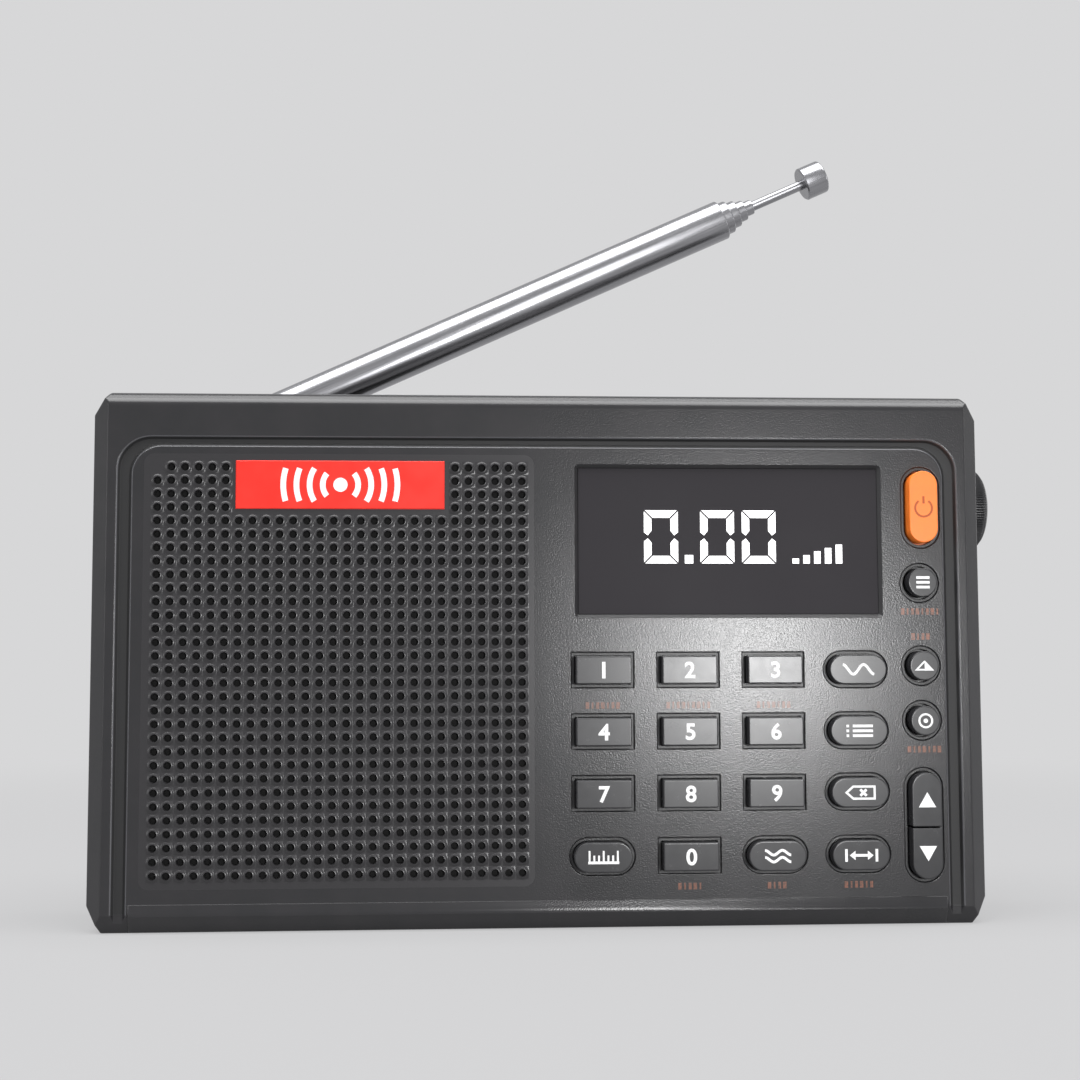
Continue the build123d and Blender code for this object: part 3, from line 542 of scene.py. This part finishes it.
def zero_segments(x0, x1, z0, z1, line, gap):
    """The six outer segments of a seven-segment nought, mitred at the corners and
    pointed where the uprights meet, with a thin gap between neighbours."""
    middle = (z0 + z1) / 2
    segments = []
    for outer, inner in ((z0, z0 + line), (z1, z1 - line)):
        segments.append(np.array([(x0 + gap, outer), (x1 - gap, outer),
                                  (x1 - line - gap, inner), (x0 + line + gap, inner)]))
        way = 1 if outer > middle else -1
        for edge, inside in ((x0, x0 + line), (x1, x1 - line)):
            segments.append(np.array([(edge, outer - way * gap), (inside, inner - way * gap),
                                      (inside, middle + way * 0.8 * line),
                                      ((edge + inside) / 2, middle + way * 0.2 * line),
                                      (edge, middle + way * 0.6 * line)]))
    return segments


lens_acrylic = Finish("lens acrylic", tone(49, 47, 50), 0.5, Specular_IOR_Level=0.1)
lens_acrylic.vary(lens_acrylic.noise(60), (tone(48, 46, 49), tone(50, 48, 51)), (0.45, 0.55))
dress(lens_acrylic, "display_lens")
lcd_glass = Finish("panel glass", tone(60, 58, 61), 0.6)
lcd_glass.vary(lcd_glass.noise(120), (tone(58, 56, 59), tone(62, 60, 63)), (0.55, 0.65))
dress(lcd_glass, "lcd_panel")
lit_white = Finish("lit segments", tone(240, 240, 240), 0.6, Emission_Strength=1.0,
                   Emission_Color=tone(252, 252, 252))
lit_white.feed(lit_white.blend(lit_white.noise(400), tone(246, 246, 247), tone(255, 255, 255)),
               "Emission Color")
face_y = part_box("display_lens")[0].y
digits = []
for x in DIGITS_X:
    digits += zero_segments(x, x + DIGIT_WIDTH, *DIGITS_Z, DIGIT_LINE, DIGIT_GAP)
side = POINT_X[1] - POINT_X[0]
digits.append(bar(sum(POINT_X) / 2, DIGITS_Z[0] + side / 2, side, side))
step = (SIGNAL_X[1] - SIGNAL_X[0]) / len(SIGNAL_HEIGHTS)
for index, height in enumerate(SIGNAL_HEIGHTS):
    digits.append(bar(SIGNAL_X[0] + (index + 0.5) * step, DIGITS_Z[0] + height / 2,
                      SIGNAL_SHARE * step, height))
printed("lit_digits", digits, (0, face_y, 0), "case", "lcd_glass", lit_white)

# ------------------------------------------------------------------ keys
# Moulded caps, grey and one orange, that stand out through the shell and are held by a
# flange behind it. Each is its outline carried through a few rings: flange, side, eased
# edge and top. Numbers are plain, and the other keys carry plain symbols for words.
KEY_LIP = 0.9 * MM
KEY_RINGS = np.array([(-0.9, -10.9), (-0.9, -11.9), (0.0, -11.9), (0.0, -16.05),
                      (0.04, -16.16), (0.14, -16.2), (0.26, -16.2)]) * MM    # inset, y
SQUARE_CORNER, ROCKER_CORNER, LEAST_CORNER = 0.15 * MM, 0.12 * MM, 0.02 * MM
WIDE_SWELL, ROCKER_SWELL, ROUND_SWELL = 0.2 * MM, 0.1 * MM, -0.05 * MM
ROUND_WITHIN = 0.1 * MM    # most that a round key's width and height differ by
DIGIT_HEIGHT = 2.9 * MM
DIGIT_BOLD = 0.026    # of the font's size, by which its strokes are widened
LINE = 0.46 * MM


def cap_mesh(low, high, radii, swell, flush=None):
    """Key cap over (x, z) from low to high: the outline inset by each ring's distance, less
    the swell in front of the flange. The flush side meets its neighbour, so the flange
    stops there."""
    rings = []
    for inset, y in KEY_RINGS - np.outer(np.arange(len(KEY_RINGS)) > 1, (swell, 0)):
        z0 = low[1] + (max(inset, 0) if flush == "low" else inset)
        z1 = high[1] - (max(inset, 0) if flush == "high" else inset)
        corners = [max(radius - inset, LEAST_CORNER) for radius in radii]
        outline = rounded_outline((low[0] + inset, z0), (high[0] - inset, z1), corners, 12)
        rings.append(np.insert(outline, 1, y, axis=1))
    return skin(rings)


def wave(width, height, periods, z=0.0):
    """Sine line across a width: z + height / 2 sin(2 pi periods x / width)."""
    x = np.linspace(-width / 2, width / 2, 40)
    return np.column_stack([x, z + height / 2 * np.sin(2 * pi * periods * x / width)])


def key_symbols():
    """Outlines of each function key's symbol, about the middle of its cap."""
    rows = [z * MM for z in (-0.85, 0, 0.85)]
    tag = np.array([(2.5, 0), (2.5, 1.05), (-1.3, 1.05), (-2.5, 0), (-1.3, -1.05), (2.5, -1.05),
                    (2.5, 0)]) * MM
    crossed = [np.array([(-0.05, -0.55 * way), (1.05, 0.55 * way)]) * MM for way in (1, -1)]
    heads = [np.array([(way * 2.1, 0), (way * 1.1, 0.8), (way * 1.1, -0.8)]) * MM
             for way in (-1, 1)]
    marks = [(index, (1.9 if index % 3 == 0 else 1.1) * MM) for index in range(7)]
    return {
        "key_band": [ribbon(wave(5.6 * MM, 1.7 * MM, 1.5), LINE)],
        "key_memory": [bar(0.6 * MM, z, 3.6 * MM, LINE) for z in rows]
                      + [bar(-2.1 * MM, z, LINE, LINE) for z in rows],
        "key_delete": [ribbon(tag, 0.8 * LINE)] + [ribbon(line, LINE) for line in crossed],
        "key_bandwidth": [bar(way * 2.7 * MM, 0, LINE, 2.2 * MM) for way in (-1, 1)]
                         + [bar(0, 0, 2.4 * MM, LINE)] + heads,
        "key_frequency": [bar(0, -0.85 * MM, 5.4 * MM, LINE)]
                         + [bar((index - 3) * 0.82 * MM, height / 2 - 0.7 * MM, 0.7 * LINE, height)
                            for index, height in marks],
        "key_mode": [ribbon(wave(4.6 * MM, 0.8 * MM, 1.5, z * MM), LINE) for z in (-0.6, 0.6)],
        "key_menu": [bar(0, z, 2.4 * MM, LINE) for z in rows],
        "key_sideband": [np.array([(0, -0.85), (1.7, -0.85), (0, 0.95)]) * MM,
                         ribbon(np.array([(0, 0.78), (-1.45, -0.7), (0, -0.7)]) * MM, 0.6 * LINE)],
        "key_info": [ribbon(arc(1.15 * MM, 0, 2 * pi, steps=40), 0.75 * LINE), disc(0.4 * MM, 24)],
        "key_up": [np.array([(-1.55, -1.3), (1.55, -1.3), (0, 1.35)]) * MM],
        "key_down": [np.array([(-1.55, 1.3), (0, -1.35), (1.55, 1.3)]) * MM],
    }


def power_symbol():
    """Open ring with an upright bar in its gap, about the middle of the cap."""
    ring = arc(1.52 * MM, radians(125), radians(415), (0, -0.27 * MM), 48)
    return [ribbon(ring, 0.36 * MM), bar(0, 1.2 * MM, 0.4 * MM, 1.3 * MM)]


def key_cap(name):
    """Cap of one key over its CAD node, and the middle of its front. The corners are half
    circles, but square on number keys and where the rocker's two halves meet."""
    low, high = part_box(name)
    flush = {"key_up": "low", "key_down": "high"}.get(name)
    x0, x1 = low.x + KEY_LIP, high.x - KEY_LIP
    z0 = low.z if flush == "low" else low.z + KEY_LIP
    z1 = high.z if flush == "high" else high.z - KEY_LIP
    radius = min(x1 - x0, z1 - z0) / 2
    radii, swell = [radius] * 4, WIDE_SWELL
    if name[4:].isdigit():
        radii = [SQUARE_CORNER] * 4
    elif flush == "low":
        radii, swell = (ROCKER_CORNER, radius, radius, ROCKER_CORNER), ROCKER_SWELL
    elif flush == "high":
        radii, swell = (radius, ROCKER_CORNER, ROCKER_CORNER, radius), ROCKER_SWELL
    elif name == "power_key" or abs((x1 - x0) - (z1 - z0)) < ROUND_WITHIN:
        swell = ROUND_SWELL
    slot, finish = "key_plastic", key_plastic
    if name == "power_key":
        slot, finish = "power_plastic", power_plastic
    cap = piece(name + "_moulding", *cap_mesh((x0, z0), (x1, z1), radii, swell, flush),
                name + "_cap", slot, finish, crease=50)
    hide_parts(name)
    return np.array([(x0 + x1) / 2, low.y, (z0 + z1) / 2])


def digit_mesh(text, height):
    """Points and faces of a bold digit standing in the plane y = 0, centred: the font's
    outline, scaled by height over its own height and flattened to the print's thickness."""
    curve = bpy.data.curves.new("digit " + text, "FONT")
    curve.body = text
    curve.offset = DIGIT_BOLD
    curve.extrude = 0.5
    curve.resolution_u = 6
    holder = bpy.data.objects.new("digit " + text, curve)
    bpy.context.scene.collection.objects.link(holder)
    bpy.context.view_layer.update()
    mesh = bpy.data.meshes.new_from_object(holder)
    flat = np.array([tuple(vertex.co) for vertex in mesh.vertices])
    faces = [list(face.vertices) for face in mesh.polygons]
    bpy.data.objects.remove(holder)
    middle = (flat.max(axis=0) + flat.min(axis=0)) / 2
    flat = (flat - middle) / np.ptp(flat[:, 1]) * height
    thick = PRINT_THICK / np.abs(flat[:, 2]).max()
    return np.column_stack([flat[:, 0], -flat[:, 2] * thick, flat[:, 1]]), faces


key_plastic = Finish("key plastic", tone(50, 50, 52), 0.33)
key_plastic.vary(key_plastic.noise(500), (tone(38, 38, 40), tone(42, 42, 44)), (0.255, 0.275))
power_plastic = Finish("power plastic", tone(252, 132, 48), 0.4)
power_plastic.vary(power_plastic.noise(500), (tone(249, 126, 42), tone(253, 132, 48)), (0.36, 0.44))
# The power symbol is a flat print; its darker orange is painted shade that stands in for an
# engraving.
painted_engraving_shade = Finish("engraved line", tone(176, 84, 34), 0.6)
painted_engraving_shade.vary(painted_engraving_shade.noise(800), (tone(168, 78, 32), tone(184, 90, 38)), (0.55, 0.65))

symbols = key_symbols()
names = [name for name in nodes if name.startswith("key_") and name != "key_mat"]
for name in names + ["power_key"]:
    middle = key_cap(name)
    if name[4:].isdigit():
        points, faces = digit_mesh(name[4:], DIGIT_HEIGHT)
        piece(name + "_number", points + middle, faces, name + "_cap", "key_plastic", print_white)
    elif name == "power_key":
        printed("power_symbol", power_symbol(), middle, name + "_cap", "power_plastic", painted_engraving_shade,
                MARK_THICK)
    else:
        printed(name + "_symbol", symbols[name], middle, name + "_cap", "key_plastic", print_white)

# ------------------------------------------------------------------ function marks
# Small faded orange marks beside some keys, printed in ink on the face, which is level
# with the grille's front: plain upright dashes where words would be.
DASH_WIDTHS = [width * MM for width in (0.62, 0.3, 0.5)]
DASH_HEIGHT = 1.15 * MM
DASH_STEP = 0.9 * MM
# Middle x and z of each mark in millimetres, and its number of dashes.
MARKS = ((10.5, 38.8, 7), (25.7, 38.8, 9), (40.9, 38.8, 7), (67.6, 55.3, 8), (67.6, 50.8, 4),
         (67.9, 30.8, 7), (25.7, 7.2, 5), (41.1, 7.2, 4), (55.7, 7.2, 6))

mark_orange = Finish("mark orange", tone(130, 80, 58), 0.28)
mark_orange.vary(mark_orange.noise(2500, 3.0), (tone(84, 62, 54), tone(150, 88, 60)), (0.27, 0.31))
dashes = []
for x, z, count in MARKS:
    for index in range(count):
        dashes.append(bar(x * MM + (index - (count - 1) / 2) * DASH_STEP, z * MM,
                          DASH_WIDTHS[index % 3], DASH_HEIGHT))
printed("function_marks", dashes, (0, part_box("speaker_grille")[0].y, 0), "case", "case_plastic",
        mark_orange, MARK_THICK)

# ------------------------------------------------------------------ antenna
# Chromed tubes that slide in one another, each turned from its profile with a rolled
# mouth, and a plain turned tip. Their line and elbow come from the joints, and distances
# run along that line from the elbow, in millimetres like the radii.
TUBE_RADII = (3.85, 3.2, 2.6, 2.0, 1.45)
TUBE_WALL = 0.3
TUBE_STARTS = [6.5] + [11.0 + 1.5 * index for index in range(1, 5)]
TUBE_ENDS = [104.8 + 1.65 * index for index in range(5)]
MOUTH_EASE, MOUTH_DEPTH = 0.25, 1.2
SLIDE_GAP = 0.05
BUSH_LENGTH = 3
ROD_START, ROD_END, ROD_RADIUS = 26.5, 124.3, 0.95
TIP_START, TIP_END, TIP_RADIUS = 122.3, 126.8, 3.2
TIP_BEVEL, TIP_EASE = 0.25, 0.45
TIP_CROWN, TIP_FLAT = 0.04, 1.6
ANTENNA_STEPS, ROD_STEPS = 96, 32

elbow = Vector(joints["antenna_fold"]["pos_m"])
antenna_line = Vector(joints["tube_2_slide"]["axis"])
antenna_rise = atan2(antenna_line.z, antenna_line.x)


def turned(origin, line, profile, steps, loop=False, radius_at=None):
    """Surface of revolution: origin + d line + r (cos t across + sin t beside), for each
    distance d and radius r of the profile, in millimetres. radius_at can shape each radius
    by its angle."""
    across = line.orthogonal().normalized()
    beside = line.cross(across)
    turn = np.arange(steps) * 2 * pi / steps
    spoke = np.outer(np.cos(turn), across) + np.outer(np.sin(turn), beside)
    rings = []
    for distance, radius in profile:
        shaped = radius if radius_at is None else radius_at(distance, radius, turn)[:, None]
        rings.append(np.array(origin + line * distance * MM) + shaped * MM * spoke)
    return skin(rings, loop)


def rolled(end, radius, ease, steps=5):
    """Quarter-round edge of a profile, from the side to the end face."""
    angle = np.linspace(0, pi / 2, steps)
    return [(end - ease + ease * sin(a), radius - ease + ease * cos(a)) for a in angle]


def bush(outer):
    """Radius of the wider foot that slides inside the tube of an outer radius."""
    return outer - TUBE_WALL - SLIDE_GAP


def tube_profile(index):
    """Closed profile of one tube: bore, foot, side, rolled mouth and the lip inside it."""
    radius, start, end = TUBE_RADII[index], TUBE_STARTS[index], TUBE_ENDS[index]
    bore = radius - TUBE_WALL
    neck = (*TUBE_RADII, ROD_RADIUS)[index + 1] + SLIDE_GAP
    foot = [(start, bore), (start, radius)]
    if index:
        wide = bush(TUBE_RADII[index - 1])
        foot = [(start, bore), (start, wide), (start + BUSH_LENGTH, wide),
                (start + BUSH_LENGTH, radius)]
    return foot + rolled(end, radius, MOUTH_EASE) + [(end, neck), (end - MOUTH_DEPTH, neck),
                                                     (end - MOUTH_DEPTH, bore)]


def antenna_piece(name, node, body, profile, steps=ANTENNA_STEPS, loop=False, crease=40):
    """One chromed piece turned on the antenna's line, in place of its CAD node."""
    made = piece(name, *turned(elbow, antenna_line, profile, steps, loop), body, "chrome", chrome,
                 crease=crease)
    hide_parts(node)


chrome = Finish("chrome", tone(150, 150, 152), 0.16, Metallic=1.0)
chrome.vary(chrome.streaks((9 * MM, 0.25 * MM, 0.25 * MM), (0, -antenna_rise, 0)),
            (tone(140, 140, 143), tone(156, 156, 159)), (0.21, 0.27))
for index in range(len(TUBE_RADII)):
    antenna_piece(f"drawn_tube_{index + 1}", f"antenna_tube_{index + 1}",
                  f"tube_{index + 1}" if index else "antenna_base", tube_profile(index), loop=True)
wide = bush(TUBE_RADII[-1])
antenna_piece("tip_rod", "antenna_rod", "tip",
              [(ROD_START, wide), (ROD_START + BUSH_LENGTH, wide),
               (ROD_START + BUSH_LENGTH, ROD_RADIUS), (ROD_END, ROD_RADIUS)], ROD_STEPS, crease=35)
antenna_piece("tip_cap", "antenna_cap", "tip",
              [(TIP_START, ROD_RADIUS), (TIP_START, TIP_RADIUS - TIP_BEVEL),
               (TIP_START + TIP_BEVEL, TIP_RADIUS), *rolled(TIP_END, TIP_RADIUS, TIP_EASE),
               (TIP_END + TIP_CROWN, TIP_RADIUS - TIP_FLAT)])
dress(chrome, "antenna_turret", "antenna_tongue", "elbow_pin", "turret_screw")

# ------------------------------------------------------------------ tuning knob
# Moulded thumb wheel, pushed on to the encoder's shaft on the right side: a fluted rim
# under a shallow dome with a moulded edge. Distances and radii are in millimetres.
KNOB_FLUTES = 96
KNOB_STEPS = KNOB_FLUTES * 6
FLUTE_DEPTH = 0.22
RIM_END = 2.9
RIM_EASES = (0.2, 0.25)
DOME_INSET = 0.5
DOME_TURN = 0.47 * pi
SHAFT_HOLE = 2.0

low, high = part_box("side_knob")
knob_radius = (high.z - low.z) / 2 / MM
crown = (high.x - low.x) / MM


def fluted(distance, radius, turn):
    """Radius r - depth (1 - cos n t) / 2 along the rim, plain on the dome."""
    on_rim = distance < RIM_END + 0.3 and radius > knob_radius - 1
    return radius - (FLUTE_DEPTH if on_rim else 0.0) * (1 - np.cos(KNOB_FLUTES * turn)) / 2


inner, outer = RIM_EASES
profile = [(0.0, SHAFT_HOLE), (0.0, knob_radius - inner), (inner, knob_radius),
           (RIM_END - outer, knob_radius), (RIM_END, knob_radius - outer)]
for angle in np.linspace(0, DOME_TURN, 14):
    profile.append((RIM_END + (crown - RIM_END) * sin(angle),
                    (knob_radius - DOME_INSET) * cos(angle)))
axis_foot = Vector((low.x, (low.y + high.y) / 2, (low.z + high.z) / 2))
knob = piece("fluted_knob", *turned(axis_foot, Vector((1, 0, 0)), profile, KNOB_STEPS,
                                    radius_at=fluted), "knob", "key_plastic", key_plastic,
             crease=40)
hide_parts("side_knob")

# ------------------------------------------------------------------ fittings and inside
# Plain finishes for the CAD pieces that show little or not at all: steel screws, plated
# sockets and contacts, the loudspeaker, the board and its parts, the keypad's rubber mat
# and the wrapped battery cell.


def plain(name, colours, roughness, scale, *pieces, **sockets):
    """Finish whose colour and roughness drift between two ends, on some CAD nodes."""
    finish = Finish(name, colours[0], roughness[0], **sockets)
    finish.vary(finish.noise(scale), colours, roughness)
    dress(finish, *pieces)


plain("screw steel", (tone(120, 120, 124), tone(140, 140, 144)), (0.3, 0.42), 900,
      "case_screws", "pcb_screws", "encoder_shaft", Metallic=1.0)
plain("socket metal", (tone(176, 176, 180), tone(190, 190, 192)), (0.22, 0.34), 700,
      "dc_socket", Metallic=1.0)
plain("contact metal", (tone(200, 178, 120), tone(210, 188, 132)), (0.25, 0.38), 700,
      "battery_contacts", Metallic=1.0)
plain("magnet steel", (tone(110, 110, 112), tone(126, 126, 128)), (0.35, 0.5), 400,
      "speaker_magnet", "speaker_frame", Metallic=1.0)
plain("inner plastic", (tone(34, 34, 35), tone(40, 40, 41)), (0.45, 0.6), 400,
      "lcd_frame", "earphone_jack", "encoder_body")
plain("silicone", (tone(150, 150, 148), tone(160, 160, 158)), (0.5, 0.62), 250, "key_mat")
plain("board green", (tone(20, 84, 48), tone(26, 94, 54)), (0.3, 0.42), 250, "main_pcb")
plain("speaker cloth", (tone(12, 12, 12), tone(22, 22, 22)), (0.9, 1.0), 4000, "grille_cloth")
plain("cone paper", (tone(40, 40, 40), tone(52, 52, 51)), (0.8, 0.95), 1500, "speaker_cone")
plain("ferrite", (tone(66, 62, 62), tone(80, 76, 76)), (0.6, 0.75), 800, "ferrite_rod")
plain("copper wire", (tone(176, 96, 56), tone(196, 112, 68)), (0.28, 0.4), 2500,
      "ferrite_coil", Metallic=1.0)
plain("cell wrap", (tone(40, 74, 130), tone(48, 84, 142)), (0.3, 0.42), 200, "battery")

# ------------------------------------------------------------------ floor, light and camera
# Pale seamless studio. One long soft lamp overhead draws the top edges, a small one in
# front gives the sheen, a tall one lights the antenna, and three strips pick out the sides.
PAPER = tone(215, 215, 216)
SHEET = tone(156, 156, 157)
ROOM = (0.36, 0.36, 0.37, 1.0)
SHADOW_SHARE = 0.35
SHADOW_REACH = (0.14, 0.55)
FLOOR_HALF = 6.0
LENS, SENSOR = 54.47, 36
CAMERA_AT = Vector((-17.6, -302.15, 46.2)) * MM
CAMERA_AIM = Vector((-0.5, -14.0, 68.0)) * MM
CAMERA_ROLL = radians(-0.16)


def shown_ray(tree):
    """1 for a ray that shows the background, straight or in metal or glass, otherwise 0."""
    path = tree.nodes.new("ShaderNodeLightPath")
    shown = path.outputs["Is Camera Ray"]
    for kind in ("Is Glossy Ray", "Is Transmission Ray"):
        either = tree.nodes.new("ShaderNodeMath")
        either.operation = "MAXIMUM"
        tree.links.new(shown, either.inputs[0])
        tree.links.new(path.outputs[kind], either.inputs[1])
        shown = either.outputs[0]
    return shown


def studio_world():
    """Room that lights the radio less than it shows to the camera and to reflections."""
    world = bpy.data.worlds.new("studio")
    bpy.context.scene.world = world
    world.use_nodes = True
    tree = world.node_tree
    mix = tree.nodes.new("ShaderNodeMix")
    mix.data_type = "RGBA"
    mix.inputs["A"].default_value = ROOM
    mix.inputs["B"].default_value = PAPER
    tree.links.new(shown_ray(tree), mix.inputs["Factor"])
    tree.links.new(mix.outputs["Result"], tree.nodes["Background"].inputs["Color"])


def aimed(thing, at, aim, roll=0.0):
    """Puts a lamp or the camera in the scene at one point, looking at another."""
    bpy.context.scene.collection.objects.link(thing)
    thing.location = at
    level = (Vector(aim) - Vector(at)).to_track_quat("-Z", "Y").to_matrix()
    thing.rotation_euler = (level @ Matrix.Rotation(roll, 3, "Z")).to_euler()


def soft_lamp(name, at, aim, size, radiance, roll=0.0):
    """Rectangular lamp of one radiance: its power is pi times its area times that."""
    data = bpy.data.lights.new(name, "AREA")
    data.shape = "RECTANGLE"
    data.size, data.size_y = size
    data.energy = pi * size[0] * size[1] * radiance
    lamp = bpy.data.objects.new(name, data)
    aimed(lamp, at, aim, roll)
    return lamp


def paper_floor():
    """Floor that shows its own even tone, and takes a soft shadow only near the radio."""
    mesh = bpy.data.meshes.new("floor")
    corners = [(-1, -1), (1, -1), (1, 1), (-1, 1)]
    mesh.from_pydata([(x * FLOOR_HALF, y * FLOOR_HALF, 0) for x, y in corners], [], [(0, 1, 2, 3)])
    floor = bpy.data.objects.new("floor", mesh)
    bpy.context.scene.collection.objects.link(floor)
    paper = bpy.data.materials.new("paper floor")
    paper.use_nodes = True
    mesh.materials.append(paper)
    tree = paper.node_tree
    tree.nodes.remove(tree.nodes["Principled BSDF"])
    glow = tree.nodes.new("ShaderNodeEmission")
    glow.inputs["Color"].default_value = PAPER
    sheet = tree.nodes.new("ShaderNodeBsdfDiffuse")
    sheet.inputs["Color"].default_value = SHEET
    place = tree.nodes.new("ShaderNodeTexCoord")
    far = tree.nodes.new("ShaderNodeVectorMath")
    far.operation = "LENGTH"
    share = tree.nodes.new("ShaderNodeMapRange")
    share.interpolation_type = "SMOOTHSTEP"
    for socket, value in (("From Min", SHADOW_REACH[0]), ("From Max", SHADOW_REACH[1]),
                          ("To Min", SHADOW_SHARE), ("To Max", 0.0)):
        share.inputs[socket].default_value = value
    mix = tree.nodes.new("ShaderNodeMixShader")
    choose = tree.nodes.new("ShaderNodeMixShader")
    link = tree.links.new
    link(place.outputs["Object"], far.inputs[0])
    link(far.outputs["Value"], share.inputs["Value"])
    link(share.outputs["Result"], mix.inputs["Fac"])
    link(glow.outputs[0], mix.inputs[1])
    link(sheet.outputs[0], mix.inputs[2])
    link(shown_ray(tree), choose.inputs["Fac"])
    link(sheet.outputs[0], choose.inputs[1])
    link(mix.outputs[0], choose.inputs[2])
    link(choose.outputs[0], tree.nodes["Material Output"].inputs["Surface"])
    return floor


def reach(lamp, things, state):
    """Gives a lamp's light to these objects alone (INCLUDE), or to all but them (EXCLUDE)."""
    group = bpy.data.collections.new("reach of " + lamp.name)
    for thing in things:
        group.objects.link(thing)
    for entry in group.collection_objects:
        entry.light_linking.link_state = state
    lamp.light_linking.receiver_collection = group


studio_world()
floor = paper_floor()
soft_lamp("overhead", (0, -0.20, 0.98), (0, 0, 0.10), (1.6, 0.76), 6.0)
sheen = soft_lamp("front sheen", (0.110, -0.406, 0.052), (0.036, 0, 0.047), (0.045, 0.04), 110.0)
reach(sheen, [floor], "EXCLUDE")
strip = soft_lamp("tall strip", (0.155, -0.45, 0.135), (0, 0, 0.10), (0.12, 0.26), 5.0,
                  antenna_rise)
reach(strip, [thing for thing in bpy.data.objects if thing.type == "MESH"
              and chrome.material in thing.data.materials[:]], "INCLUDE")
soft_lamp("left side", (-0.72, -0.40, 0.12), (0, 0, 0.06), (0.12, 0.45), 4.0)
soft_lamp("right side", (0.78, -0.28, 0.12), (0, 0, 0.06), (0.12, 0.45), 4.0)
soft_lamp("right strip", (0.70, 0.50, 0.15), (0, 0, 0.06), (0.12, 0.5), 1.6)

camera_data = bpy.data.cameras.new("camera")
camera_data.lens = LENS
camera_data.sensor_width = SENSOR
camera_data.clip_start = 0.01
camera = bpy.data.objects.new("camera", camera_data)
aimed(camera, CAMERA_AT, CAMERA_AIM, CAMERA_ROLL)
bpy.context.scene.camera = camera
bpy.context.scene.view_settings.view_transform = "Standard"
